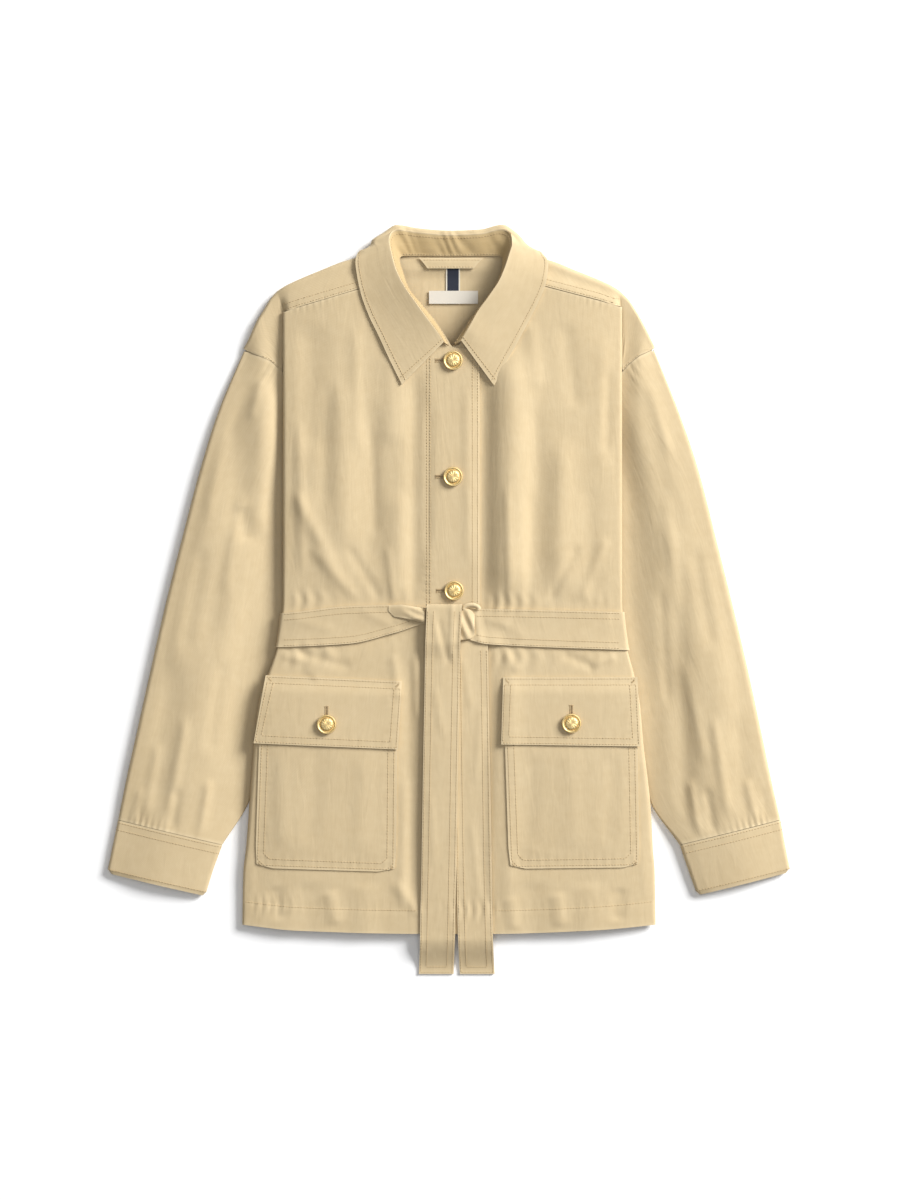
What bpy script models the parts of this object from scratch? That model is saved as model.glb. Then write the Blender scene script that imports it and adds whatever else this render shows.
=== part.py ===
"""Safari jacket of cotton twill, buttoned and belted, laid out flat on its back.

Metres, +Z up, +Y towards the collar, +X towards the wearer's left. The origin is on the surface that the
jacket lies on, under the middle of its box. Sizes in the tables are in millimetres. Each panel is a skin
through sections, its outer face, given a wall by Solidify. A flat layer lies on the one below with a small gap.
"""

import math
from collections import namedtuple

import bpy
import numpy as np

MM = 0.001
CLOTH = 1.0
DOUBLED = 1.5
BELT_CLOTH = 1.6
GAP = 0.4
SEAM_GAP = 0.3
BELT_LIFT = 2.0
BUTTON_RADIUS = 10.3

# The fronts' height over the surface at the middle of the body, from hem to neck.
Crown = namedtuple("Crown", "y z")
CROWN = [
    Crown(-358, 9.5), Crown(-330, 11), Crown(-300, 13), Crown(-266, 15), Crown(-215, 18), Crown(-150, 20),
    Crown(-60, 19), Crown(-30, 18), Crown(0, 19), Crown(60, 21), Crown(130, 21.5), Crown(200, 21),
    Crown(300, 19.5), Crown(340, 19),
]
CROWN_SPREAD = 70.0

# Along each side of the body: how far out the side fold and the hidden seam lie, the height of the
# fold's upper face and that of the cloth that turns back under it, above the sleeve.
Side = namedtuple("Side", "y fold seam top under")
RIGHT_SIDE = [
    Side(-348, 221, 215.5, 7, 3), Side(-292, 219.9, 214, 8.8, 3.1), Side(-266, 216.9, 211, 10, 3.2),
    Side(-215, 213, 206.5, 12.5, 4.4), Side(-190, 211, 201, 14, 5.6), Side(-154, 208.2, 193, 15.5, 7.4),
    Side(-112, 203.5, 182, 16.5, 9.2), Side(-81, 193.5, 172, 16.5, 10.2), Side(-54, 184, 168, 16, 11.3),
    Side(-43, 181.5, 165, 15.6, 11.4), Side(0, 177.1, 156, 16.5, 11.4), Side(48, 177.1, 146, 17, 11),
    Side(106, 177.1, 134, 17, 11), Side(128, 177.1, 131.5, 17, 11), Side(150, 177.1, 133, 17, 11),
    Side(203, 177.1, 144, 17, 11), Side(243, 177.1, 165, 16.5, 10.8), Side(275, 177.1, 169, 15.5, 10.4),
    Side(308, 177.1, 171.5, 14.2, 10.2),
]
LEFT_SIDE = [
    Side(-348, 222, 216.5, 7, 3), Side(-292, 221, 215, 8.8, 3.1), Side(-266, 219, 213, 10, 3.2),
    Side(-223, 216.7, 210, 12.5, 4.2), Side(-193, 213.5, 205, 14, 5.4), Side(-153, 208.5, 199, 15.5, 7.4),
    Side(-113, 204.9, 191, 16.5, 9.2), Side(-85, 199.6, 184, 16.5, 10.2), Side(-54, 191.5, 174, 16, 11.3),
    Side(-43, 189.5, 171, 15.6, 11.4), Side(0, 185.6, 160.5, 16.5, 11.4), Side(48, 185.6, 149, 17, 11),
    Side(106, 185.6, 134.5, 17, 11), Side(128, 185.6, 131.5, 17, 11), Side(150, 185.6, 134, 17, 11),
    Side(203, 185.6, 148, 17, 11), Side(243, 185.6, 172, 16.5, 10.8), Side(275, 185.6, 177.5, 15.5, 10.4),
    Side(313, 185.6, 180, 14.2, 10.2),
]

# Each front's upper edge from its middle edge outwards: across the neck, then along the shoulder seam.
Edge = namedtuple("Edge", "x y")
RIGHT_TOP = [
    Edge(33.2, 263.8), Edge(18.7, 268), Edge(3.7, 269.6), Edge(-4.8, 284.1), Edge(-14.4, 299.1),
    Edge(-28.4, 315.1), Edge(-42.3, 331.7), Edge(-51.9, 342.4), Edge(-85.1, 334.7), Edge(-109.7, 327.4),
    Edge(-135.4, 319.7), Edge(-156.8, 313.5), Edge(-177.1, 307.2),
]
LEFT_TOP = [
    Edge(-21.9, 267), Edge(-5, 270), Edge(11.2, 271.8), Edge(20.9, 286.2), Edge(33.7, 304.4),
    Edge(45.5, 320.5), Edge(55.6, 337.1), Edge(61, 344), Edge(90.4, 337.6), Edge(112.9, 331.7),
    Edge(139.6, 324.8), Edge(161, 319.4), Edge(185.6, 312.4),
]
HEM = [Edge(-222, -348.3), Edge(-159, -354.7), Edge(-30, -357.9), Edge(49, -357.9), Edge(162, -353.8), Edge(223, -348.3)]
BACK_HEM_RISE = 3.0

# How far each row and column of a front lies along it, closer where the form turns.
FRONT_ROWS = [
    0, 0.03, 0.08, 0.13, 0.18, 0.23, 0.28, 0.33, 0.375, 0.41, 0.437, 0.4505, 0.482, 0.5135, 0.5275, 0.565,
    0.61, 0.66, 0.695, 0.727, 0.76, 0.81, 0.86, 0.91, 0.96, 1,
]
FRONT_COLUMNS = [0, 0.07, 0.15, 0.21, 0.27, 0.34, 0.41, 0.48, 0.55, 0.62, 0.69, 0.76, 0.83, 0.9, 0.96, 1]
LAP_DROP = 1.9
LAP_FROM = 36.0
LAP_TO = 62.0

# Soft ridges and troughs of the fronts: where each runs, its half width and its height.
Fold = namedtuple("Fold", "x0 y0 x1 y1 half rise")
BODY_FOLDS = [
    Fold(-36, 300, -38, -20, 12, -2.2), Fold(-60, 250, -66, 0, 15, 1.4), Fold(-118, 290, -108, 10, 20, -1.2),
    Fold(-150, 290, -150, 60, 16, 0.8), Fold(46, 240, 48, -10, 10, -2.0), Fold(74, 260, 72, -10, 15, 1.3),
    Fold(104, 220, 100, -10, 13, -1.3), Fold(150, 80, 118, -8, 12, 1.4), Fold(160, 290, 158, 120, 14, 0.9),
    Fold(-42, -50, -38, -345, 10, -1.6), Fold(55, -50, 52, -345, 9, -1.5), Fold(-120, -56, -150, -84, 9, 1.2),
    Fold(-90, -300, -90, -370, 14, 1.2), Fold(-150, -300, -152, -370, 14, -1.0),
    Fold(90, -300, 90, -370, 14, -1.0), Fold(150, -300, 150, -370, 16, 1.2),
]

# The back panel turns over the shoulder and ends in front, at the shoulder and armhole seams. A row for
# each line over the shoulder: where it turns, where it ends, and the height of both.
Over = namedtuple("Over", "x y end_x end_y z end_z")
RIGHT_SHOULDER = [
    Over(-219.9, 269.1, -214.5, 265.4, 6, 6.5), Over(-215.1, 277.7, -207, 262.2, 8, 9.2),
    Over(-210.3, 288.4, -198.5, 259, 9.5, 10.6), Over(-204.9, 300.1, -191, 255.7, 10, 9.8),
    Over(-197.4, 311.9, -184.6, 250.4, 9.5, 8.6), Over(-191, 322.6, -178.2, 244.5, 9.4, 8.2),
    Over(-183.5, 330.6, -175.9, 309, 9.8, 8.8), Over(-174.9, 336.2, -172.4, 308.9, 12, 14.2),
    Over(-162.1, 342.4, -156.8, 313.7, 13, 16.4), Over(-141.8, 350.9, -135.4, 319.9, 13.5, 18),
    Over(-110.7, 362.9, -109.7, 327.6, 14, 18.8), Over(-86.1, 368.7, -85.1, 334.9, 14, 18.9),
    Over(-69, 370.5, -64.7, 339.7, 13.5, 18.6), Over(-60.4, 370.5, -54.5, 342.1, 12.5, 18.4),
]
LEFT_SHOULDER = [
    Over(221.5, 270.2, 215.6, 266.4, 6, 6.5), Over(216.7, 280.3, 210.3, 263.8, 8, 9.2),
    Over(211.3, 291, 203.8, 260.5, 9.5, 10.4), Over(206, 301.2, 197.4, 255.7, 10, 9.4),
    Over(199.6, 311.9, 192.1, 250.9, 9.5, 8.6), Over(193.1, 321.6, 186.8, 245, 9.4, 8.2),
    Over(183.5, 330.8, 183.9, 314, 9.8, 8.8), Over(174.5, 336.4, 180.2, 314.2, 12, 14.2),
    Over(158.9, 343.5, 161, 319.9, 13, 16.8), Over(137.5, 352, 139.6, 325.3, 13.5, 18.3),
    Over(110.7, 362.7, 112.9, 332.2, 14, 18.9), Over(87.2, 368.3, 90.4, 338.1, 14, 19),
    Over(70.8, 370.5, 67.4, 342.6, 13.5, 18.6), Over(62.8, 370.5, 61.6, 344.4, 12.5, 18.4),
]
NECK_COLUMNS = [-50, -34, -17, 1, 19, 36, 52]
NECK_Y = 372.5
BACK_ROWS = [-300, -250, -200, -150, -100, -62.5, -53, -11.5, -2.5, 45, 90]
UNDERARM_Y = 128.0
BACK_UPPER_ROWS = [0.2, 0.4, 0.6, 0.74, 0.83, 0.88, 0.93, 1]

# The flattened sleeve: its outer and inner fold, their heights, and the crown and the shelf, the part
# that lies under the body's side fold, each with its place across from the outer fold.
Ring = namedtuple("Ring", "out_x out_y in_x in_y out_z crown_at crown shelf_at shelf in_z bulge")
RIGHT_SLEEVE = [
    Ring(-219.2, 267, -132.9, 129.4, 6, 0.11, 10.6, 0.27, 8.2, 7, 1),
    Ring(-247.1, 200.6, -139.6, 103.2, 9, 0.3, 14.5, 0.60, 9.2, 7, 0.45),
    Ring(-265.9, 140.7, -148.2, 63.7, 10, 0.34, 17, 0.71, 9.4, 7, 0),
    Ring(-286.2, 63.7, -161, 1.6, 10, 0.38, 18, 0.82, 8.3, 6.5, 0),
    Ring(-304.4, -9.1, -173.9, -54, 10, 0.4, 18, 0.87, 8, 6, 0),
    Ring(-319.9, -77.6, -187.8, -112.9, 10, 0.4, 17.5, 0.84, 8, 5.5, 0),
    Ring(-334.9, -145, -201.7, -177.1, 10, 0.42, 17, 0.9, 5.4, 4.4, 0),
    Ring(-345.1, -191, -213.9, -216.7, 9.5, 0.44, 16, 0.94, 4.4, 3.3, 0),
    Ring(-354.2, -235.9, -242.4, -262.7, 8, 0.5, 12.5, 0.85, 10, 8, 0),
]
LEFT_SLEEVE = [
    Ring(220.5, 267.6, 132.5, 129, 6, 0.1, 10.4, 0.25, 8.2, 7, 1),
    Ring(247.2, 200.6, 140.7, 103.2, 9, 0.28, 14.5, 0.53, 9.2, 7, 0.45),
    Ring(267.5, 140.7, 149.3, 63.7, 10, 0.33, 17, 0.65, 9.4, 7, 0),
    Ring(287.3, 63.7, 165.3, 1.6, 10, 0.37, 18, 0.78, 8.3, 6.5, 0),
    Ring(305.5, -9.1, 180.3, -54, 10, 0.4, 18, 0.87, 8, 6, 0),
    Ring(321.5, -77.6, 196.3, -112.9, 10, 0.4, 17.5, 0.88, 7.6, 5.5, 0),
    Ring(336, -145, 206.5, -177.1, 10, 0.42, 17, 0.92, 5.4, 4.4, 0),
    Ring(345.6, -191, 216.6, -216.7, 9.5, 0.44, 16, 0.95, 4.4, 3.3, 0),
    Ring(355.8, -235.9, 247.7, -262.7, 8, 0.5, 12.5, 0.85, 10, 8, 0),
]
SLEEVE_RINGS = 15
UNDER_COLUMNS = 4
UNDER_GAP = 1.0
# The armhole seam where the body hides it.
RIGHT_ARMHOLE = [(-166, 233), (-147, 200), (-136.5, 160)]
LEFT_ARMHOLE = [(172, 231), (149, 199), (137, 160)]
SLEEVE_FOLDS = [
    Fold(-252, 190, -300, -120, 18, 1.2), Fold(-205, 190, -262, -60, 13, -1.6), Fold(-290, -60, -318, -225, 15, -1.4),
    Fold(-225, 20, -262, -190, 12, 1.0), Fold(200, 240, 243, 60, 12, -1.6), Fold(243, 60, 256, -250, 12, -1.8),
    Fold(275, 60, 303, -200, 15, 1.4), Fold(305, -120, 322, -240, 10, -1.0),
]
RIGHT_CUFF = [
    Ring(-354.4, -236.35, -242.55, -263.15, 8, 0.5, 12.7, 0.85, 10.2, 8.2, 0),
    Ring(-360.6, -266, -252.5, -290.5, 8, 0.5, 12, 0.85, 9.8, 8, 0),
    Ring(-365.3, -289, -259.6, -313.4, 7.4, 0.5, 11.4, 0.85, 9.2, 7.4, 0),
    Ring(-361.5, -294.2, -263.5, -317.2, 6.4, 0.5, 10.8, 0.85, 8.4, 6.4, 0),
]
LEFT_CUFF = [
    Ring(356, -236.35, 248, -263.15, 8, 0.5, 12.7, 0.85, 10.2, 8.2, 0),
    Ring(361.5, -266, 257.5, -291, 8, 0.5, 12, 0.85, 9.8, 8, 0),
    Ring(366, -288, 265.2, -312.4, 7.4, 0.5, 11.4, 0.85, 9.2, 7.4, 0),
    Ring(362, -293.2, 269.5, -316.4, 6.4, 0.5, 10.8, 0.85, 8.4, 6.4, 0),
]

# The collar around the neck, from the wearer's right to left: its seam, the roll at its inner edge, the
# line where it turns under at the back, and its outer edge. A station that stays on top turns nowhere.
Station = namedtuple("Station", "seam_x seam_y seam_z roll_x roll_y roll_z turn_x turn_y turn_z end_x end_y end_z")
ON_TOP = None
COLLAR = [
    Station(1.6, 271.2, 22.2, -5, 274.6, 25.4, ON_TOP, 0, 0, -49.8, 229.5, 23.6),
    Station(-2.7, 285.2, 22, -12.3, 285.2, 26.5, ON_TOP, 0, 0, -61.5, 253.1, 23.4),
    Station(-12.3, 300.1, 21.5, -23, 299.6, 27.5, ON_TOP, 0, 0, -74.4, 280.9, 22.6),
    Station(-25.7, 316.2, 21, -35.8, 317.3, 28, ON_TOP, 0, 0, -86.1, 305.5, 21.8),
    Station(-40.1, 333.3, 20, -47.6, 334.4, 27.5, ON_TOP, 0, 0, -93.6, 326.9, 21.5),
    Station(-48.5, 350.5, 16.5, -57.2, 354.7, 25.5, ON_TOP, 0, 0, -97.9, 347.2, 19.8),
    Station(-52, 363.5, 11, -62.1, 374, 22, ON_TOP, 0, 0, -99.5, 361.5, 17.5),
    Station(-51.9, 364.7, 10.2, -62.7, 376.8, 21, ON_TOP, 0, 0, -98.3, 368, 15.8),
    Station(-51.8, 365.9, 9.5, -63.1, 379.3, 20, -95.5, 373.6, 15.6, -94.2, 369.5, 7),
    Station(-51.2, 367, 8, -63.7, 384.7, 17.5, -82.9, 383.1, 13.5, -84.5, 371, 0),
    Station(-49.5, 368.1, 6.6, -62, 392, 13.5, -68.5, 394.2, 11, -55.1, 372.9, 0),
    Station(-45, 368.6, 5.6, -55, 396.5, 10.6, -56.2, 401.7, 9.6, -54, 370.8, 0),
    Station(-30.5, 368.6, 5.2, -30.5, 393.2, 9.4, -30.5, 397.9, 8.8, -30.5, 361.1, 0),
    Station(1.6, 368.1, 5.2, 1.6, 391, 9.2, 1.6, 395.7, 8.6, 1.6, 360.1, 0),
    Station(33.7, 368.6, 5.2, 33.7, 392.2, 9.4, 33.7, 396.9, 8.8, 33.7, 361.1, 0),
    Station(48.5, 368.6, 5.6, 57, 397, 10.6, 58.3, 402, 9.6, 56.2, 371.8, 0),
    Station(54.5, 368.1, 6.6, 66, 392.8, 13.5, 70.2, 395.2, 11, 58.3, 372.2, 0),
    Station(56.5, 367, 8, 67.9, 384.7, 17.5, 79.5, 386.2, 13.5, 80.3, 366, 0),
    Station(57.4, 365.9, 9.5, 67.9, 378.2, 20, 97, 373.5, 15.6, 97.9, 368.5, 7),
    Station(57.5, 364.7, 10.2, 67.2, 375.8, 21, ON_TOP, 0, 0, 103, 367.2, 15.8),
    Station(57.6, 363.5, 11, 66.3, 373, 22, ON_TOP, 0, 0, 106.8, 360.5, 17.5),
    Station(56.3, 351.5, 16.5, 61.5, 358, 25.5, ON_TOP, 0, 0, 104.3, 338.7, 21.2),
    Station(51, 338, 20, 55.1, 341.9, 27.5, ON_TOP, 0, 0, 95.8, 317.3, 21.8),
    Station(40, 321.6, 21, 43.3, 323.7, 28, ON_TOP, 0, 0, 86.1, 298, 21.8),
    Station(28, 305.6, 21.5, 31.6, 307.6, 27.5, ON_TOP, 0, 0, 74.4, 275.5, 22.6),
    Station(16, 288, 21.8, 22.5, 291.3, 27.8, ON_TOP, 0, 0, 59.4, 248.8, 23.4),
    Station(6, 272.5, 22.2, 13.6, 276, 26.2, ON_TOP, 0, 0, 48.7, 228.4, 23.6),
]
STAND_STEPS = 3
LEAF_STEPS = 11
COLLAR_SPLIT = 0.66
LEAF_START = 0.84

# Pocket and flap corners: upper and lower edge, from the middle of the body outwards.
Corners = namedtuple("Corners", "x_in_top y_in_top x_out_top y_out_top x_in_low y_in_low x_out_low y_out_low")
RIGHT_BAG = Corners(-54.5, -104, -200.5, -100, -56.2, -291.6, -207, -287)
LEFT_BAG = Corners(58.5, -102, 201, -102, 64.7, -288, 204.5, -286.5)
RIGHT_FLAP = Corners(-49.8, -87.2, -195.3, -80.8, -54, -160, -208.1, -153.5)
LEFT_FLAP = Corners(58.3, -82.9, 201.7, -82.9, 56.2, -154.6, 204.9, -156.8)
BAG_PUFF = 0.8
BAG_CORNER = 11.0

# The belt's edges across the front and the ends that hang from its knot.
Run = namedtuple("Run", "x upper lower")
BELT_FRONT = [
    Run(-190, -14.4, -50.8), Run(-178, -14.2, -50.6), Run(-105, -7, -47), Run(-57, -5.9, -35.5),
    Run(-18, -9.4, -25), Run(14, -11, -38), Run(24, -10, -43.3), Run(42.3, -10.2, -47.6), Run(190, -13.4, -54),
]
BELT_BACK_UPPER = -13.5
BELT_BACK_LOWER = -51.0
Tail = namedtuple("Tail", "y x z")
TAIL_WIDTH = 37.3
TAIL_ROLL = 2.6
TAIL_OVER = [
    Tail(-5.5, -23, 9), Tail(-30, -24, 10), Tail(-52, -24.8, 9.4), Tail(-80, -25.3, 4.8), Tail(-161, -26.8, 5.2),
    Tail(-240, -28.1, 5.6), Tail(-268, -28.6, 5.2), Tail(-352, -30.3, 2.4), Tail(-368.6, -30.6, 2.2), Tail(-401.8, -31.8, 2),
]
TAIL_UNDER = [
    Tail(-49, 4.8, 2.2), Tail(-80, 5.4, 2.1), Tail(-161, 6.6, 2.1), Tail(-268, 8.2, 2.1), Tail(-352, 10, 2.2),
    Tail(-368.6, 10.5, 2.1), Tail(-401.8, 12.2, 2),
]
TAIL_LAND = -398.0
Bunch = namedtuple("Bunch", "x upper lower high")
KNOT = [
    Bunch(-15, -14, -38, 6), Bunch(-9, -9.5, -42, 7), Bunch(2, -8.5, -43.5, 7.1), Bunch(13, -9, -43.5, 7.1),
    Bunch(20, -9.8, -43, 6.9), Bunch(25, -12, -41.5, 6.4), Bunch(27.8, -16, -38, 5.4),
]
KNOT_LOW = 2.6

Spot = namedtuple("Spot", "name x y on")
BUTTONS = [
    Spot("button_top", 4.8, 255.2, "front"), Spot("button_chest", 4.8, 131.1, "front"),
    Spot("button_waist", 5.9, 9.4, "front"), Spot("button_flap_right", -130, -133.2, "flap"),
    Spot("button_flap_left", 131.1, -132.1, "flap"),
]
Turned = namedtuple("Turned", "radius z")
BUTTON_PROFILE = [
    Turned(0, 4.6), Turned(6.2, 4.2), Turned(7.0, 3.5), Turned(9.2, 3.9), Turned(10.3, 3.1), Turned(9.9, 2.2),
    Turned(6.5, 1.5), Turned(2.4, 1.3), Turned(2.2, 0), Turned(0, 0),
]

TWILL = ("khaki_cotton_twill", (0.62, 0.47, 0.27, 1), 0.85, 0)
TWILL_COLLAR = ("khaki_twill_collar", (0.6, 0.45, 0.26, 1), 0.85, 0)
BRASS = ("gilt_brass", (0.72, 0.5, 0.16, 1), 0.3, 1)
TAPE = ("navy_cotton_tape", (0.02, 0.03, 0.08, 1), 0.9, 0)
LABEL = ("ecru_satin_label", (0.8, 0.76, 0.68, 1), 0.7, 0)


def smooth_step(t):
    t = np.clip(t, 0, 1)
    return t * t * (3 - 2 * t)


def bend(places, values, at):
    """A smooth curve through values at rising places, that never passes beyond two neighbours."""
    places, values = np.asarray(places, float), np.asarray(values, float)
    step = np.diff(places)
    rise = np.diff(values) / step
    slope = np.zeros(len(values))
    turning = rise[:-1] * rise[1:] > 0
    both = rise[:-1] + rise[1:]
    slope[1:-1][turning] = 2 * (rise[:-1] * rise[1:])[turning] / both[turning]
    slope[0], slope[-1] = rise[0], rise[-1]
    at = np.clip(at, places[0], places[-1])
    i = np.clip(np.searchsorted(places, at, "right") - 1, 0, len(step) - 1)
    t = (at - places[i]) / step[i]
    start = values[i] * (1 + 2 * t) * (1 - t) ** 2 + slope[i] * step[i] * t * (1 - t) ** 2
    end = values[i + 1] * t * t * (3 - 2 * t) - slope[i + 1] * step[i] * t * t * (1 - t)
    return start + end


def read(rows, key, name, at):
    """One column of a table, read smoothly at a place along another column."""
    rows = sorted(rows, key=lambda row: getattr(row, key))
    return bend([getattr(row, key) for row in rows], [getattr(row, name) for row in rows], at)


def between(rows, key, name, at):
    """One column of a table, read along straight lines."""
    rows = sorted(rows, key=lambda row: getattr(row, key))
    return np.interp(at, [getattr(row, key) for row in rows], [getattr(row, name) for row in rows])


def fold_height(folds, x, y):
    """What the ridges and troughs add to the height at a place."""
    total = 0.0 * x
    for fold in folds:
        run_x, run_y = fold.x1 - fold.x0, fold.y1 - fold.y0
        length = math.hypot(run_x, run_y)
        along = ((x - fold.x0) * run_x + (y - fold.y0) * run_y) / length**2
        aside = ((x - fold.x0) * run_y - (y - fold.y0) * run_x) / length
        fade = smooth_step((1 - np.abs(2 * along - 1)) / 0.35)
        total = total + fold.rise * fade * np.exp(-((aside / fold.half) ** 2))
    return total


def side_of(x):
    return RIGHT_SIDE if x < 0 else LEFT_SIDE


def body_top(x, y):
    """Height of the fronts' outer face."""
    side = side_of(x)
    inside = read(side, "y", "fold", y) - abs(x)
    top = read(side, "y", "top", y)
    crown = read(CROWN, "y", "z", y)
    spread = 1 - (1 - np.clip(inside / CROWN_SPREAD, 0, 1)) ** 2
    return float(top + (crown - top) * spread + fold_height(BODY_FOLDS, x, y) * smooth_step((inside - 4) / 20))


def back_lift(x, y):
    """How far the back panel rises over the belt's back run and over the collar turned under it."""
    over_belt = smooth_step((y - BELT_BACK_LOWER + 11) / 9) * smooth_step((BELT_BACK_UPPER + 11 - y) / 9)
    over_collar = smooth_step((y - 343) / 13) * smooth_step((116 - abs(x)) / 14)
    return float(BELT_LIFT * max(over_belt, over_collar))


def mesh_object(name, points, faces, material):
    mesh = bpy.data.meshes.new(name)
    mesh.from_pydata([(MM * x, MM * y, MM * z) for x, y, z in points], [], faces)
    piece = bpy.data.objects.new(name, mesh)
    jacket.objects.link(piece)
    finish(piece, material)
    return piece


def finish(piece, material):
    name, colour, roughness, metallic = material
    found = bpy.data.materials.get(name)
    if found is None:
        found = bpy.data.materials.new(name)
        found.use_nodes = True
        shader = found.node_tree.nodes["Principled BSDF"]
        shader.inputs["Base Color"].default_value = colour
        shader.inputs["Roughness"].default_value = roughness
        shader.inputs["Metallic"].default_value = metallic
    piece.data.materials.append(found)


def skin(name, grid, wall, material=TWILL, flip=False, closed=False):
    """A wall of cloth under its outer face, given as rows of points. A point of None leaves a hole."""
    points, index = [], []
    for row in grid:
        index.append([])
        for point in row:
            index[-1].append(None if point is None else len(points))
            if point is not None:
                points.append(point)
    faces = []
    for low, high in zip(index, index[1:]):
        ends = list(zip(low, low[1:], high[1:], high))
        if closed:
            ends.append((low[-1], low[0], high[0], high[-1]))
        for face in ends:
            if None not in face:
                faces.append(face[::-1] if flip else face)
    piece = mesh_object(name, points, faces, material)
    solid = piece.modifiers.new("wall", "SOLIDIFY")
    solid.thickness = wall * MM
    solid.offset = -1
    solid.use_even_offset = True
    solid.use_quality_normals = True
    for polygon in piece.data.polygons:
        polygon.use_smooth = True
    return piece


def side_section(side, y):
    """The body's side in section at one height of the jacket: round its fold, back under it and down to the back.

    Each point is how far out it lies and how high."""
    fold, seam = float(read(side, "y", "fold", y)), float(read(side, "y", "seam", y))
    top, under = float(read(side, "y", "top", y)), float(read(side, "y", "under", y))
    radius = (top - under) / 2
    middle = fold - radius
    points = []
    for step in range(1, 7):
        turn = math.radians(90 - 30 * step)
        points.append((middle + radius * math.cos(turn), under + radius + radius * math.sin(turn)))
    reach = smooth_step((y - UNDERARM_Y + 22) / 22)
    down_to = back_lift(0, y) + CLOTH + 2 * GAP
    end = down_to + (under - 1.2 - down_to) * reach
    corner = min(2.5, (under - end) / 2, (middle - seam) * 0.6)
    for share in (0.4, 0.8):
        points.append((middle + (seam + corner - middle) * share, under))
    for step in range(4):
        turn = math.radians(90 - 30 * step)
        points.append((seam + corner * (1 - math.cos(turn)), under - corner * (1 - math.sin(turn))))
    points[-1] = (seam, under - corner)
    points.append((seam, end))
    return points


def front(name, side, sign, top_edge, columns, rows):
    """One front: across the body from its middle edge, round the side fold and back under it to the seam."""
    grid = []
    middle_edge = top_edge[0].x
    for v in rows:
        row = []
        for u in columns:
            y = -350 + v * 660
            for _ in range(4):
                fold = float(read(side, "y", "fold", y))
                radius = float(read(side, "y", "top", y) - read(side, "y", "under", y)) / 2
                x = middle_edge + u * (sign * (fold - radius) - middle_edge)
                low, high = float(read(HEM, "x", "y", x)), float(between(top_edge, "x", "y", x))
                y = low + v * (high - low)
            z = body_top(x, y)
            if sign > 0:
                z -= LAP_DROP * float(1 - smooth_step((x - LAP_FROM) / (LAP_TO - LAP_FROM)))
            row.append((x, y, z))
        for out, height in side_section(side, y):
            row.append((sign * out, y, height))
        grid.append(row)
    return skin(name, grid, CLOTH, flip=sign < 0)


def shoulder_line(over, steps):
    """One line of the back panel over the shoulder, from the surface, round the turn, to the seam in front."""
    run = np.array([over.end_x - over.x, over.end_y - over.y])
    reach = float(np.hypot(*run))
    ahead = run / reach
    low = back_lift(over.x, over.y)
    radius = (over.z - low) / 2
    line = []
    for step in range(steps + 1):
        turn = math.pi * step / steps
        inward = radius * (1 - math.sin(turn))
        line.append((*(np.array([over.x, over.y]) + ahead * inward), low + radius * (1 - math.cos(turn))))
    flat = reach - SEAM_GAP - radius
    for share in (1 / 3, 2 / 3, 1):
        place = np.array([over.x, over.y]) + ahead * (radius + flat * share)
        line.append((*place, over.z + (over.end_z - over.z) * float(smooth_step(share))))
    return line


def back(turn_steps=5):
    """The back panel: flat on the surface, over both shoulders, and open at the neck."""
    lines = [shoulder_line(over, turn_steps) for over in RIGHT_SHOULDER]
    lines += [[(x, NECK_Y, back_lift(x, NECK_Y))] for x in NECK_COLUMNS]
    lines += [shoulder_line(over, turn_steps) for over in LEFT_SHOULDER[::-1]]
    across = [i / (len(lines) - 1) for i in range(len(lines))]
    grid = []

    def rim(y, u):
        left = -float(read(RIGHT_SIDE, "y", "seam", y)) + 0.2
        right = float(read(LEFT_SIDE, "y", "seam", y)) - 0.2
        return left + (right - left) * u

    for y in [-348, *BACK_ROWS, UNDERARM_Y]:
        row = []
        for u in across:
            x = rim(y, u)
            place = float(read(HEM, "x", "y", x)) + BACK_HEM_RISE if y == -348 else y
            row.append((x, place, back_lift(x, place)))
        grid.append(row)
    low = [np.array(point[:2]) for point in grid[-1]]
    high = [np.array(line[0][:2]) for line in lines]
    for v in BACK_UPPER_ROWS[:-1]:
        row = []
        for u, start, end in zip(across, low, high):
            x, y = start + (end - start) * v
            row.append((x, y, back_lift(x, y)))
        grid.append(row)
    for step in range(len(lines[0])):
        grid.append([line[step] if step < len(line) else None for line in lines])
    return skin("back", grid, CLOTH, flip=True)


def armhole_offset(ring, shoulder, hidden):
    """How far the armhole seam lies towards the body from the straight line across the sleeve's first ring."""
    start, end = np.array([ring.out_x, ring.out_y]), np.array([ring.in_x, ring.in_y])
    reach = float(np.hypot(*(end - start)))
    ahead = (end - start) / reach
    aside = np.array([-ahead[1], ahead[0]]) * (1 if ring.out_x < 0 else -1)
    seam = [(over.end_x, over.end_y) for over in shoulder[:6]] + hidden
    found = [(0.0, 0.0)]
    for place in seam:
        away = np.array(place) - start
        found.append((float(away @ ahead) / reach, float(away @ aside) - SEAM_GAP))
    found.append((1.0, 0.0))
    return aside, [at for at, _ in found], [out for _, out in found]


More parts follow.
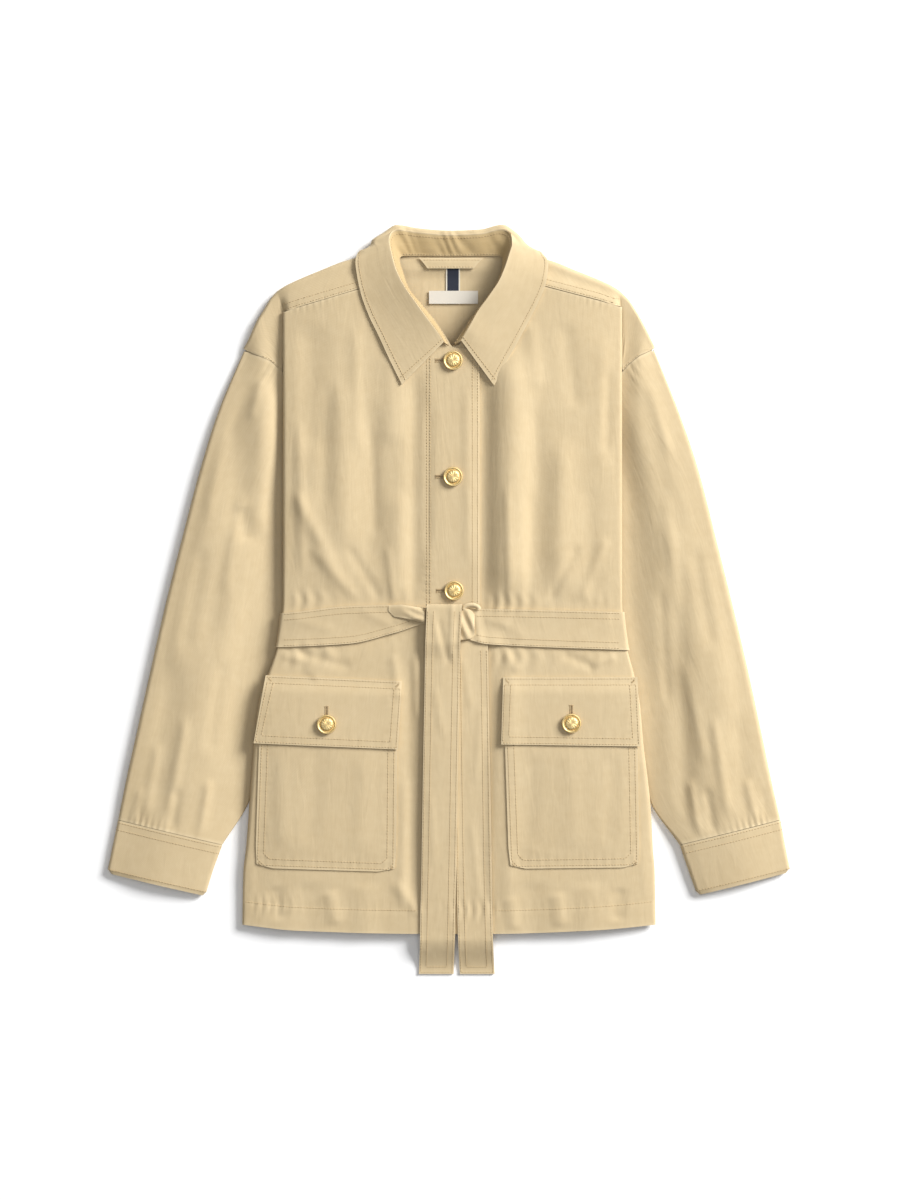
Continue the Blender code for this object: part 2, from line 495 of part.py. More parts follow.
def tube_ring(ring, offset, folds, fine=1):
    """One ring of a flattened tube: along the surface, round its outer fold, over the top and round its inner fold."""
    outer, inner = np.array([ring.out_x, ring.out_y]), np.array([ring.in_x, ring.in_y])
    width = float(np.hypot(*(inner - outer)))
    ahead = (inner - outer) / width
    out_turn, in_turn = ring.out_z / 2 / width, ring.in_z / 2 / width
    points = []
    for share in np.linspace(1 - in_turn, out_turn, 3 * fine, endpoint=False):
        points.append((*(outer + ahead * width * share), 0.0))
    for turn in np.linspace(0, math.pi, 5 * fine, endpoint=False):
        place = outer + ahead * (ring.out_z / 2) * (1 - math.sin(turn))
        points.append((*place, ring.out_z / 2 * (1 - math.cos(turn))))
    places = [out_turn, ring.crown_at, ring.shelf_at, 1 - in_turn]
    heights = [ring.out_z, ring.crown, ring.shelf, ring.in_z]
    for share in np.linspace(out_turn, 1 - in_turn, 12 * fine, endpoint=False):
        place = outer + ahead * width * share
        if ring.bulge > 0:
            aside, at, out = offset
            place = place + aside * ring.bulge * float(bend(at, out, share))
        z = float(bend(places, heights, share))
        calm = float(smooth_step((share - 0.04) / 0.15) * smooth_step((0.97 * ring.shelf_at - share) / 0.15))
        points.append((*place, z + calm * float(fold_height(folds, place[0], place[1]))))
    for turn in np.linspace(0, math.pi, 4 * fine, endpoint=False):
        place = inner - ahead * (ring.in_z / 2) * (1 - math.sin(turn))
        points.append((*place, ring.in_z / 2 * (1 + math.cos(turn))))
    return points


def rings_between(rings, count):
    """Rings read smoothly from the table's rows, evenly along the tube."""
    steps = [math.hypot(b.out_x - a.out_x, b.out_y - a.out_y) for a, b in zip(rings, rings[1:])]
    places = np.concatenate([[0], np.cumsum(steps)])
    wanted = np.linspace(0, places[-1], count)
    columns = [bend(places, [ring[i] for ring in rings], wanted) for i in range(len(Ring._fields))]
    return [Ring(*(float(value) for value in row)) for row in zip(*columns)]


def toward(start, end, distance):
    """A place a little way from one point towards another."""
    start, end = np.array(start), np.array(end)
    return tuple(start + (end - start) * distance / np.linalg.norm(end - start))


def sleeve(name, rings, shoulder, hidden, sign):
    """A two-piece sleeve: an under sleeve flat on the surface, and a top sleeve that folds round to it on both sides."""
    offset = armhole_offset(rings[0], shoulder, hidden)
    made = [tube_ring(ring, offset, SLEEVE_FOLDS) for ring in rings_between(rings, SLEEVE_RINGS)]
    under = []
    for points in made:
        start = toward(points[-1], points[0], UNDER_GAP)
        end = toward(points[UNDER_COLUMNS], points[UNDER_COLUMNS - 1], UNDER_GAP)
        under.append([start, *points[:UNDER_COLUMNS], end])
    skin(name + "_top", [points[UNDER_COLUMNS:] for points in made], CLOTH, flip=sign < 0)
    skin(name + "_under", under, CLOTH, flip=sign < 0)


def cuff(name, rings, sign):
    grid = [tube_ring(ring, None, []) for ring in rings]
    return skin(name, grid, DOUBLED, closed=True, flip=sign < 0)


def along_path(path, shares):
    """Points at shares of a path's length."""
    path = np.array(path, float)
    steps = np.concatenate([[0], np.cumsum(np.linalg.norm(np.diff(path, axis=0), axis=1))])
    at = np.asarray(shares) * steps[-1]
    return [tuple(float(np.interp(s, steps, path[:, axis])) for axis in range(3)) for s in at]


def collar_stand_path(station):
    """The collar from its seam up to its roll."""
    seam = np.array([station.seam_x, station.seam_y, station.seam_z])
    roll = np.array([station.roll_x, station.roll_y, station.roll_z])
    path = []
    for share in np.linspace(0, 1, 9):
        lift = (roll[2] - seam[2]) * 0.25 * math.sin(math.pi * share)
        path.append(tuple(seam + (roll - seam) * share + np.array([0, 0, lift])))
    return path


def collar_leaf_path(station):
    """The collar from its roll out to its edge, and where it turns under, round the turn."""
    roll = np.array([station.roll_x, station.roll_y, station.roll_z])
    end = np.array([station.end_x, station.end_y, station.end_z])
    if station.turn_x is ON_TOP:
        path = []
        for share in np.linspace(0, 1, 24):
            place = roll + (end - roll) * share
            place[2] = end[2] + (roll[2] - end[2]) * (1 - share) ** 2
            path.append(tuple(place))
        return [path, None, None]
    turn = np.array([station.turn_x, station.turn_y])
    radius = station.turn_z / 2
    outward = (turn - roll[:2]) / np.hypot(*(turn - roll[:2]))
    inward = (end[:2] - turn) / np.hypot(*(end[:2] - turn))
    arc = []
    for angle in np.linspace(0, math.acos(end[2] / radius - 1), 13):
        inset = radius * (1 - math.sin(angle))
        place = turn + (-outward if angle < math.pi / 2 else inward) * inset
        arc.append((*place, radius * (1 + math.cos(angle))))
    if end[2] > 0:
        return [[tuple(roll), *arc], None, None]
    return [[tuple(roll)], arc, [arc[-1], tuple(end)]]


def collar_leaf_points(station, steps):
    top, arc, below = collar_leaf_path(station)
    if arc is None:
        return along_path(top, np.linspace(0, 1, steps + 1))
    turning, above = 5, 3
    points = along_path([*top, arc[0]], np.linspace(0, 1, above, endpoint=False))
    points += along_path(arc, np.linspace(0, 1, turning, endpoint=False))
    points += along_path(below, np.linspace(0, 1, steps + 1 - above - turning))
    return points


def collar():
    """The collar: a stand band that shows inside the neck, and the leaf that turns over it."""
    stand, leaf = [], []
    for station in COLLAR:
        rise = along_path(collar_stand_path(station), np.linspace(0, COLLAR_SPLIT, STAND_STEPS + 1))
        stand.append(rise)
        start = along_path(collar_stand_path(station), [LEAF_START, 0.92])
        leaf.append(start + collar_leaf_points(station, LEAF_STEPS))
    skin("collar_stand", stand, DOUBLED, TWILL_COLLAR, flip=True)
    skin("collar_leaf", leaf, DOUBLED, TWILL_COLLAR, flip=True)


def panel_point(corners, u, v):
    """A place on a pocket or flap: u from its inner to its outer edge, v from its lower to its upper edge."""
    low = np.array([corners.x_in_low + (corners.x_out_low - corners.x_in_low) * u,
                    corners.y_in_low + (corners.y_out_low - corners.y_in_low) * u])
    high = np.array([corners.x_in_top + (corners.x_out_top - corners.x_in_top) * u,
                     corners.y_in_top + (corners.y_out_top - corners.y_in_top) * u])
    return low + (high - low) * v


def bag_height(u, v):
    """The pocket bag's outer face above the front: flat along its seams, a little full between them."""
    full = float(smooth_step(min(u, 1 - u) / 0.2) * smooth_step(v / 0.2))
    return GAP + CLOTH + BAG_PUFF * full


def pocket_bag(name, corners, columns=8, rows=8):
    grid = []
    for v in np.linspace(0, 1, rows + 1):
        row = []
        for u in np.linspace(0, 1, columns + 1):
            x, y = panel_point(corners, u, v)
            corner = max(0.0, 1 - v * rows) * max(0.0, 1 - min(u, 1 - u) * columns)
            y += corner * BAG_CORNER * 0.35
            x -= corner * BAG_CORNER * 0.15 * (1 if u > 0.5 else -1) * (1 if x > 0 else -1)
            row.append((x, y, body_top(x, y) + bag_height(u, v)))
        grid.append(row)
    return skin(name, grid, CLOTH, flip=corners.x_in_top < 0)


def flap_height(v):
    """The flap's outer face above the front: sewn down at the top, over the bag below."""
    return GAP + CLOTH + 0.2 + (BAG_PUFF + GAP + CLOTH + 0.3) * float(smooth_step((1 - v) / 0.25))


def pocket_flap(name, corners, columns=8, rows=5):
    grid = []
    for v in np.linspace(0, 1, rows + 1):
        row = []
        for u in np.linspace(0, 1, columns + 1):
            x, y = panel_point(corners, u, v)
            row.append((x, y, body_top(x, y) + flap_height(v)))
        grid.append(row)
    return skin(name, grid, CLOTH + 0.1, flip=corners.x_in_top < 0)


def belt_side(side, y):
    """The belt's outer face round one side of the body, from the fold to the surface under the back."""
    out = 1.5 * GAP + BELT_CLOTH
    fold, seam = float(read(side, "y", "fold", y)), float(read(side, "y", "seam", y))
    top, under = float(read(side, "y", "top", y)), float(read(side, "y", "under", y))
    radius = (top - under) / 2
    middle = fold - radius
    points = []
    for step in range(0, 7):
        turn = math.radians(90 - 30 * step)
        reach = radius + out
        points.append((middle + reach * math.cos(turn), under + radius + reach * math.sin(turn)))
    points.append((seam + out + 1.2, under - out))
    points.append((seam + out + 0.4, under - out - 0.5))
    points.append((seam + out, under - out - 1.6))
    for step in range(0, 4):
        turn = math.radians(30 * step)
        points.append((seam + out * math.cos(turn), out * (1 - math.sin(turn))))
    return points


def belt_height(x, y):
    """The belt's outer face where it crosses the fronts, over the lap of one front on the other."""
    return body_top(x, y) + 1.5 * GAP + BELT_CLOTH


def belt_wrap():
    """The belt from one side of the knot round the waist, under the back, to the other side of the knot."""
    lines = []
    for share in (0, 0.5, 1):
        line = []
        for x in (-18, -38, -57, -80, -105, -130, -152, -165):
            upper, lower = (float(read(BELT_FRONT, "x", name, x)) for name in ("upper", "lower"))
            y = upper + (lower - upper) * share
            line.append((x, y, belt_height(x, y)))
        y = BELT_FRONT[0].upper + (BELT_FRONT[0].lower - BELT_FRONT[0].upper) * share
        line += [(-out, y, z) for out, z in belt_side(RIGHT_SIDE, y)]
        level = BELT_BACK_UPPER + (BELT_BACK_LOWER - BELT_BACK_UPPER) * share
        line += [(x, level, 0.0) for x in (-90, 0, 90)]
        y = BELT_FRONT[-1].upper + (BELT_FRONT[-1].lower - BELT_FRONT[-1].upper) * share
        line += [(out, y, z) for out, z in belt_side(LEFT_SIDE, y)[::-1]]
        for x in (172, 155, 132, 108, 84, 62, 42.3, 26, 14):
            upper, lower = (float(read(BELT_FRONT, "x", name, x)) for name in ("upper", "lower"))
            y = upper + (lower - upper) * share
            line.append((x, y, belt_height(x, y)))
        lines.append(line)
    return skin("belt_wrap", lines, BELT_CLOTH)


def tail_height(x, y, lift):
    """A belt end's outer face: on the front, then down to the surface past the hem."""
    hem = float(read(HEM, "x", "y", x)) - 4
    if y > hem:
        return body_top(x, max(y, hem + 4)) + lift
    start = body_top(x, hem + 4) + lift
    ease = float(smooth_step((hem - y) / (hem - TAIL_LAND)))
    return start + (BELT_CLOTH + 0.2 - start) * ease


def tail_line(rows, y, columns):
    """The points across a belt end at one place along it."""
    left, lift = float(read(rows, "y", "x", y)), float(read(rows, "y", "z", y))
    return [(left + TAIL_WIDTH * u, y, tail_height(left + TAIL_WIDTH * u, y, lift)) for u in columns]


def belt_tails():
    across = np.linspace(0, 1, 4)
    grid = []
    for turn in (-60, -20, 20, 55):
        drop, ahead = 1 - math.sin(math.radians(turn)), math.cos(math.radians(turn))
        line = tail_line(TAIL_OVER, -7.5, across)
        grid.append([(x, y + TAIL_ROLL * ahead, z - TAIL_ROLL * drop) for x, y, z in line])
    for y in (-9.5, -18, -30, -42, -52, -60, -70, -82, -100, -130, -161, -200, -240, -275, -310, -340, -353, -362,
              -372, -382, -392, -401.8):
        grid.append(tail_line(TAIL_OVER, y, across))
    skin("belt_tail_over", grid, BELT_CLOTH, flip=True)
    grid = []
    for y in (-49, -56, -68, -82, -100, -130, -161, -200, -240, -275, -310, -340, -353, -362, -372, -382, -392, -401.8):
        grid.append(tail_line(TAIL_UNDER, y, across))
    skin("belt_tail_under", grid, BELT_CLOTH, flip=True)


def belt_knot():
    """The bunched cloth of the knot, a flattened solid roll between the belt and the end that falls over it."""
    points, faces = [], []
    around = 14
    for row in KNOT:
        middle, half = (row.upper + row.lower) / 2, (row.upper - row.lower) / 2
        base = max(body_top(row.x, middle + half * share) for share in (-1, -0.5, 0, 0.5, 1)) + KNOT_LOW
        height = (row.high - KNOT_LOW) / 2
        for turn in np.linspace(0, 2 * math.pi, around, endpoint=False):
            across, up = math.cos(turn), math.sin(turn)
            up = math.copysign(abs(up) ** 0.6, up)
            points.append((row.x, middle + half * across, base + height * (1 + up)))
    for first in range(0, len(points) - around, around):
        for step in range(around):
            after = (step + 1) % around
            faces.append((first + step, first + after, first + around + after, first + around + step))
    faces.append(tuple(range(around))[::-1])
    faces.append(tuple(range(len(points) - around, len(points))))
    return mesh_object("belt_knot", points, faces, TWILL)


def neck_line(x, y, rise):
    return (x, y, back_lift(x, y) + CLOTH + rise)


def neck_trim():
    """What is sewn inside the back of the neck: a hanger loop over a tape, and a plain label."""
    tape = [[neck_line(x, y, GAP + 0.6) for x in (-2.7, 12.3)] for y in (317, 331, 343, 349, 356, 364)]
    skin("neck_tape", tape, 0.6, TAPE)
    label = [[neck_line(x, y, GAP * 2 + 1.4) for x in (-20.9, 5, 31.6)] for y in (317.3, 331.2)]
    skin("neck_label", label, 0.6, LABEL)
    loop = [
        [neck_line(x, y, rise) for x, y, rise in row]
        for row in (
            [(-22.7, 355, 2.8), (-10, 355, 3), (8, 355, 3.1), (20, 355, 3), (27.3, 355, 2.8)],
            [(-27, 361, 2.6), (-12, 361, 3), (8, 361, 3.1), (22, 361, 3), (32, 361, 2.6)],
            [(-32, 366.5, 2), (-14, 366.5, 2), (8, 366.5, 2), (24, 366.5, 2), (38, 366.5, 2)],
        )
    ]
    skin("hanger_loop", loop, 0.8, TWILL)


def button(spot):
    """A gilt button with a raised rim on a short shank, turned from its profile."""
    if spot.on == "front":
        seat = body_top(spot.x, spot.y)
    else:
        seat = body_top(spot.x, spot.y) + flap_height(0.3)
    points = [(row.radius, 0, row.z) for row in BUTTON_PROFILE]
    mesh = bpy.data.meshes.new(spot.name)
    mesh.from_pydata([(MM * x, MM * y, MM * z) for x, y, z in points], [(i, i + 1) for i in range(len(points) - 1)], [])
    piece = bpy.data.objects.new(spot.name, mesh)
    piece.location = (MM * spot.x, MM * spot.y, MM * (seat + GAP))
    jacket.objects.link(piece)
    finish(piece, BRASS)
    screw = piece.modifiers.new("turned", "SCREW")
    screw.steps = 16
    screw.render_steps = 16
    screw.use_merge_vertices = True
    screw.merge_threshold = 0.00005
    return piece


for old in list(bpy.data.objects):
    bpy.data.objects.remove(old, do_unlink=True)
jacket = bpy.data.collections.new("safari_jacket")
bpy.context.scene.collection.children.link(jacket)

back()
front("front_left", LEFT_SIDE, 1, LEFT_TOP, FRONT_COLUMNS, FRONT_ROWS)
front("front_right", RIGHT_SIDE, -1, RIGHT_TOP, FRONT_COLUMNS, FRONT_ROWS)
sleeve("sleeve_right", RIGHT_SLEEVE, RIGHT_SHOULDER, RIGHT_ARMHOLE, -1)
sleeve("sleeve_left", LEFT_SLEEVE, LEFT_SHOULDER, LEFT_ARMHOLE, 1)
cuff("cuff_right", RIGHT_CUFF, -1)
cuff("cuff_left", LEFT_CUFF, 1)
collar()
pocket_bag("pocket_bag_right", RIGHT_BAG)
pocket_bag("pocket_bag_left", LEFT_BAG)
pocket_flap("pocket_flap_right", RIGHT_FLAP)
pocket_flap("pocket_flap_left", LEFT_FLAP)
belt_wrap()
belt_knot()
belt_tails()
neck_trim()
for spot in BUTTONS:
    button(spot)
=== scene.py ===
"""The looks of a belted safari jacket of khaki cotton twill, laid out flat on its back.

The panels follow the CAD's tables, in millimetres, and add the creases, puckered seams, stitching and
buttonholes. +Z is up, +Y runs from hem to collar, +X towards the wearer's left sleeve.
"""

import math
from collections import namedtuple

import bpy
import numpy as np
from mathutils import Matrix, Vector
from mathutils.bvhtree import BVHTree


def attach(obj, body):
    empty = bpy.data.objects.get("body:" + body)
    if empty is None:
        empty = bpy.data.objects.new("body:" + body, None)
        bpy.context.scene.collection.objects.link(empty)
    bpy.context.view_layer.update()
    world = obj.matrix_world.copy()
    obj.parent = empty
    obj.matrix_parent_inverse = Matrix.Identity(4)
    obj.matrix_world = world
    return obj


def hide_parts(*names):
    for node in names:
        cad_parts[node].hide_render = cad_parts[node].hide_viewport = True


bl_info = {
    "name": "Safari jacket",
    "version": (1, 0, 0),
    "blender": (4, 5, 0),
    "location": "View3D > Sidebar > Jacket",
    "description": "Builds a belted cotton jacket, laid flat, with its creases and stitching",
    "category": "Object",
}

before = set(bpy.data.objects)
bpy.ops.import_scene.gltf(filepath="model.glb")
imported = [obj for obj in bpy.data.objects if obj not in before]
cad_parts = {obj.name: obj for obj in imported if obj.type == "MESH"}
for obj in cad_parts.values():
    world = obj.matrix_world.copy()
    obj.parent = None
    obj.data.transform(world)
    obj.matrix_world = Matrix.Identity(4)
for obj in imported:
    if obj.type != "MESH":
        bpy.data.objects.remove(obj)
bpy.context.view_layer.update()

MM = 0.001

# Thickness of the walls: one layer of twill, doubled cloth, a flap, the belt, the knot's folds, tape and label.
CLOTH = 1.0
DOUBLED = 1.5
FLAP_CLOTH = 1.1
BELT_CLOTH = 1.6
KNOT_CLOTH = 0.8
TAPE_CLOTH = 0.6
# Room between two layers, between the pieces of a seam, and for the belt's run under the back.
GAP = 0.4
SEAM_GAP = 0.3
BELT_LIFT = 2.0
# How much deeper the small creases stand than their tables say, and how far wear reaches in from an edge.
CREASE_DEPTH = 3.0
WORN = 1.8

# Cloth that is turned in stands this much higher, over a short ease: along the hem and on the placket.
TURNED_IN = 0.35
TURNED_EASE = 2.5
HEM_DEPTH = 25.0
PLACKET_FROM = -22.0
PLACKET_TO = 34.0
# The left front drops this far where the right one laps over it, and rises again between these places.
LAP_DROP = 1.9
LAP_FROM = 36.0
LAP_TO = 56.0
# The side in section: steps round its fold, its seam's corner, and how it narrows to the armhole.
TURN_STEPS = 12
SEAM_CORNER = 2.5
UNDERARM_Y = 128.0
UNDERARM_RISE = 1.2
UNDERARM_REACH = 22.0
# The back: its hem over the fronts' hem, its sides inside the seams, its neck, and its steps over a shoulder.
BACK_HEM_RISE = 3.0
BACK_INSET = 0.2
NECK_COLUMNS = [-50, -34, -17, 1, 19, 36, 52]
NECK_Y = 372.5
SHOULDER_STEPS = 10
NO_POINT = (np.nan,) * 3
# The shoulder tables' first rows lie along the armhole. A sleeve has this many columns on the surface.
ARMHOLE_ROWS = 6
FLAT_COLUMNS = 10
# The share of the way up the stand at which the leaf starts.
LEAF_START = 0.955
# Pockets: how far their middle stands out, their cut corners, their size, and the flap's share of their length.
BAG_PUFF = 0.8
BAG_CORNER = 11.0
POCKET_WIDTH = 146.0
POCKET_LENGTH = 180.0
FLAP_SHARE = 0.42
# The belt: its run under the back, its ends and where they reach the surface, and the knot's underside.
BELT_BACK_UPPER = -13.5
BELT_BACK_LOWER = -51.0
TAIL_WIDTH = 37.3
TAIL_ROLL = 2.6
TAIL_TIP = -401.8
TAIL_LAND = -398.0
PAST_HEM = 4.0
KNOT_LOW = 2.6

# How far in the rows of stitching lie, or which rows of a grid they follow. The placket's are (x, upper end).
PLACKET_ROWS = ((25.6, 262), (31.2, 262), (-23.2, 303), (-19.6, 303))
FLAP_ROWS = (1.8, 8.2)
BAG_ROWS = (3.0, 9.4)
BELT_ROWS = (1.6, 7.6)
COLLAR_ROW = 6.4
CUFF_ROWS = (1, 4, 21)
# Half the width of a buttonhole between its edges, and half the length of the bar at its end.
SLIT_HALF = 1.35
BAR_HALF = 2.6

# The crown's height along the middle of the body, and how far in from the side folds it is reached.
Crown = namedtuple("Crown", "y z")
CROWN = [
    Crown(-358, 10.6), Crown(-330, 11.6), Crown(-300, 12.6), Crown(-266, 13.8), Crown(-215, 16), Crown(-150, 18.4),
    Crown(-60, 19), Crown(-30, 18), Crown(0, 19), Crown(60, 21), Crown(130, 21.5), Crown(200, 21),
    Crown(300, 19.5), Crown(340, 19),
]
CROWN_SPREAD = 70.0

# Along each side of the body: the side fold, the hidden seam, and the heights over and under the fold.
Side = namedtuple("Side", "y fold seam top under")
RIGHT_SIDE = [
    Side(-348, 221, 215.5, 7, 3), Side(-292, 219.9, 214, 8.8, 3.1), Side(-266, 216.9, 211, 10, 3.2),
    Side(-215, 213, 206.5, 12.5, 4.4), Side(-190, 211, 201, 14, 5.6), Side(-154, 208.2, 193, 15.5, 7.4),
    Side(-112, 203.5, 182, 16.5, 9.2), Side(-81, 193.5, 172, 16.5, 10.2), Side(-54, 184, 168, 16, 11.3),
    Side(-43, 181.5, 165, 15.6, 11.4), Side(0, 177.1, 156, 16.5, 11.4), Side(48, 177.1, 146, 17, 11),
    Side(106, 177.1, 134, 17, 11), Side(128, 177.1, 131.5, 17, 11), Side(150, 177.1, 133, 17, 11),
    Side(203, 177.1, 144, 17, 11), Side(243, 177.1, 165, 16.5, 10.8), Side(275, 177.1, 169, 15.5, 10.4),
    Side(308, 177.1, 171.5, 14.2, 10.2),
]
LEFT_SIDE = [
    Side(-348, 222, 216.5, 7, 3), Side(-292, 221, 215, 8.8, 3.1), Side(-266, 219, 213, 10, 3.2),
    Side(-223, 216.7, 210, 12.5, 4.2), Side(-193, 213.5, 205, 14, 5.4), Side(-153, 208.5, 199, 15.5, 7.4),
    Side(-113, 204.9, 191, 16.5, 9.2), Side(-85, 199.6, 184, 16.5, 10.2), Side(-54, 191.5, 174, 16, 11.3),
    Side(-43, 189.5, 171, 15.6, 11.4), Side(0, 185.6, 160.5, 16.5, 11.4), Side(48, 185.6, 149, 17, 11),
    Side(106, 185.6, 134.5, 17, 11), Side(128, 185.6, 131.5, 17, 11), Side(150, 185.6, 134, 17, 11),
    Side(203, 185.6, 148, 17, 11), Side(243, 185.6, 172, 16.5, 10.8), Side(275, 185.6, 177.5, 15.5, 10.4),
    Side(313, 185.6, 180, 14.2, 10.2),
]

# The upper edge of each front, from its middle edge to the side, and the hem.
Edge = namedtuple("Edge", "x y")
RIGHT_TOP = [
    Edge(33.2, 263.8), Edge(18.7, 268), Edge(3.7, 269.6), Edge(-4.8, 284.1), Edge(-14.4, 299.1),
    Edge(-28.4, 315.1), Edge(-42.3, 331.7), Edge(-51.9, 342.4), Edge(-85.1, 334.7), Edge(-109.7, 327.4),
    Edge(-135.4, 319.7), Edge(-156.8, 313.5), Edge(-177.1, 307.2),
]
LEFT_TOP = [
    Edge(-21.9, 267), Edge(-5, 270), Edge(11.2, 271.8), Edge(20.9, 286.2), Edge(33.7, 304.4),
    Edge(45.5, 320.5), Edge(55.6, 337.1), Edge(61, 344), Edge(90.4, 337.6), Edge(112.9, 331.7),
    Edge(139.6, 324.8), Edge(161, 319.4), Edge(185.6, 312.4),
]
HEM = [
    Edge(-222, -348.3), Edge(-159, -354.7), Edge(-30, -357.9), Edge(49, -357.9), Edge(162, -353.8),
    Edge(223, -348.3),
]

# Ridges and troughs: a line, half the width and the height.
Fold = namedtuple("Fold", "x0 y0 x1 y1 half rise")
BODY_FOLDS = [
    Fold(-146, 300, -146, 150, 15, -1.7), Fold(-114, 240, -112, 40, 14, 1.9), Fold(-84, 220, -82, 20, 13, -1.7),
    Fold(-62, 270, -60, 160, 12, 1.5), Fold(-54, 120, -54, -8, 12, 1.7), Fold(-36, 260, -37, -20, 9, -2.2),
    Fold(68, 280, 65, -14, 20, 6.4), Fold(38, 250, 38, -20, 9, -1.2), Fold(93, 220, 94, -6, 10, -1.6),
    Fold(122, 180, 120, -4, 13, 2.2), Fold(150, 130, 152, 0, 10, -1.2), Fold(166, 290, 166, 120, 13, 1.2),
    Fold(-42, -50, -38, -345, 10, -1.8), Fold(66, -50, 62, -345, 12, 2.0), Fold(-120, -56, -150, -84, 9, 1.2),
    Fold(-90, -300, -90, -370, 14, 1.2), Fold(-150, -300, -152, -370, 14, -1.0),
    Fold(90, -300, 90, -370, 14, -1.0), Fold(150, -300, 150, -370, 16, 1.2), Fold(-166, 120, -110, 4, 14, 1.4),
]
# Creases too small for the solids, placed one by one from the photograph.
BODY_CREASES = [
    Fold(-100, 300, -96, 150, 7, 0.35), Fold(-128, 240, -133, 90, 8, -0.35), Fold(-82, 190, -78, 60, 6, -0.3),
    Fold(-160, 200, -156, 20, 6, 0.4), Fold(-168, 120, -120, 30, 7, 0.45), Fold(-150, 60, -96, -2, 6, 0.4),
    Fold(-110, 60, -70, -4, 5, -0.3), Fold(-66, 60, -58, -6, 4, 0.3), Fold(-20, 220, -22, 40, 5, -0.3),
    Fold(20, 240, 21, 30, 6, 0.3), Fold(62, 130, 66, -8, 5, 0.35), Fold(88, 120, 86, -8, 6, -0.35),
    Fold(120, 160, 112, 30, 10, 0.25), Fold(140, 60, 104, -6, 5, -0.4), Fold(170, 70, 140, -6, 6, 0.4),
    Fold(172, 250, 168, 150, 6, -0.35), Fold(124, 300, 136, 200, 9, -0.4), Fold(86, 300, 96, 220, 8, 0.35),
    Fold(-182, -58, -150, -66, 4, 0.4), Fold(-168, -54, -100, -74, 5, -0.4), Fold(-60, -56, -52, -110, 5, 0.35),
    Fold(-36, -56, -34, -130, 4, 0.4), Fold(60, -56, 74, -78, 5, 0.4), Fold(120, -58, 160, -74, 5, -0.4),
    Fold(180, -60, 150, -72, 4, 0.4), Fold(50, -150, 46, -330, 6, 0.3), Fold(-46, -180, -50, -340, 6, 0.35),
    Fold(-210, -200, -214, -330, 5, 0.3), Fold(210, -190, 214, -330, 5, 0.3), Fold(-30, -340, -60, -300, 6, 0.4),
    Fold(-120, -350, -128, -310, 8, 0.5), Fold(-180, -345, -186, -306, 8, -0.4), Fold(120, -352, 116, -312, 8, 0.5),
    Fold(180, -346, 184, -308, 8, -0.4), Fold(70, -355, 66, -316, 6, 0.4),
]

# The back turns over the shoulder and ends in front, at the shoulder and armhole seams.
Over = namedtuple("Over", "x y end_x end_y z end_z")
RIGHT_SHOULDER = [
    Over(-219.9, 269.1, -214.5, 265.4, 6, 6.5), Over(-215.1, 277.7, -207, 262.2, 8, 9.2),
    Over(-210.3, 288.4, -198.5, 259, 9.5, 10.6), Over(-204.9, 300.1, -191, 255.7, 10, 9.8),
    Over(-197.4, 311.9, -184.6, 250.4, 9.5, 8.6), Over(-191, 322.6, -178.2, 244.5, 9.4, 8.2),
    Over(-183.5, 330.6, -175.9, 309, 9.8, 8.8), Over(-174.9, 336.2, -172.4, 308.9, 12, 14.2),
    Over(-162.1, 342.4, -156.8, 313.7, 13, 16.4), Over(-141.8, 350.9, -135.4, 319.9, 13.5, 18),
    Over(-110.7, 362.9, -109.7, 327.6, 14, 18.8), Over(-86.1, 368.7, -85.1, 334.9, 14, 18.9),
    Over(-69, 370.5, -64.7, 339.7, 13.5, 18.6), Over(-60.4, 370.5, -54.5, 342.1, 12.5, 18.4),
]
LEFT_SHOULDER = [
    Over(221.5, 270.2, 215.6, 266.4, 6, 6.5), Over(216.7, 280.3, 210.3, 263.8, 8, 9.2),
    Over(211.3, 291, 203.8, 260.5, 9.5, 10.4), Over(206, 301.2, 197.4, 255.7, 10, 9.4),
    Over(199.6, 311.9, 192.1, 250.9, 9.5, 8.6), Over(193.1, 321.6, 186.8, 245, 9.4, 8.2),
    Over(183.5, 330.8, 183.9, 314, 9.8, 8.8), Over(174.5, 336.4, 180.2, 314.2, 12, 14.2),
    Over(158.9, 343.5, 161, 319.9, 13, 16.8), Over(137.5, 352, 139.6, 325.3, 13.5, 18.3),
    Over(110.7, 362.7, 112.9, 332.2, 14, 18.9), Over(87.2, 368.3, 90.4, 338.1, 14, 19),
    Over(70.8, 370.5, 67.4, 342.6, 13.5, 18.6), Over(62.8, 370.5, 61.6, 344.4, 12.5, 18.4),
]

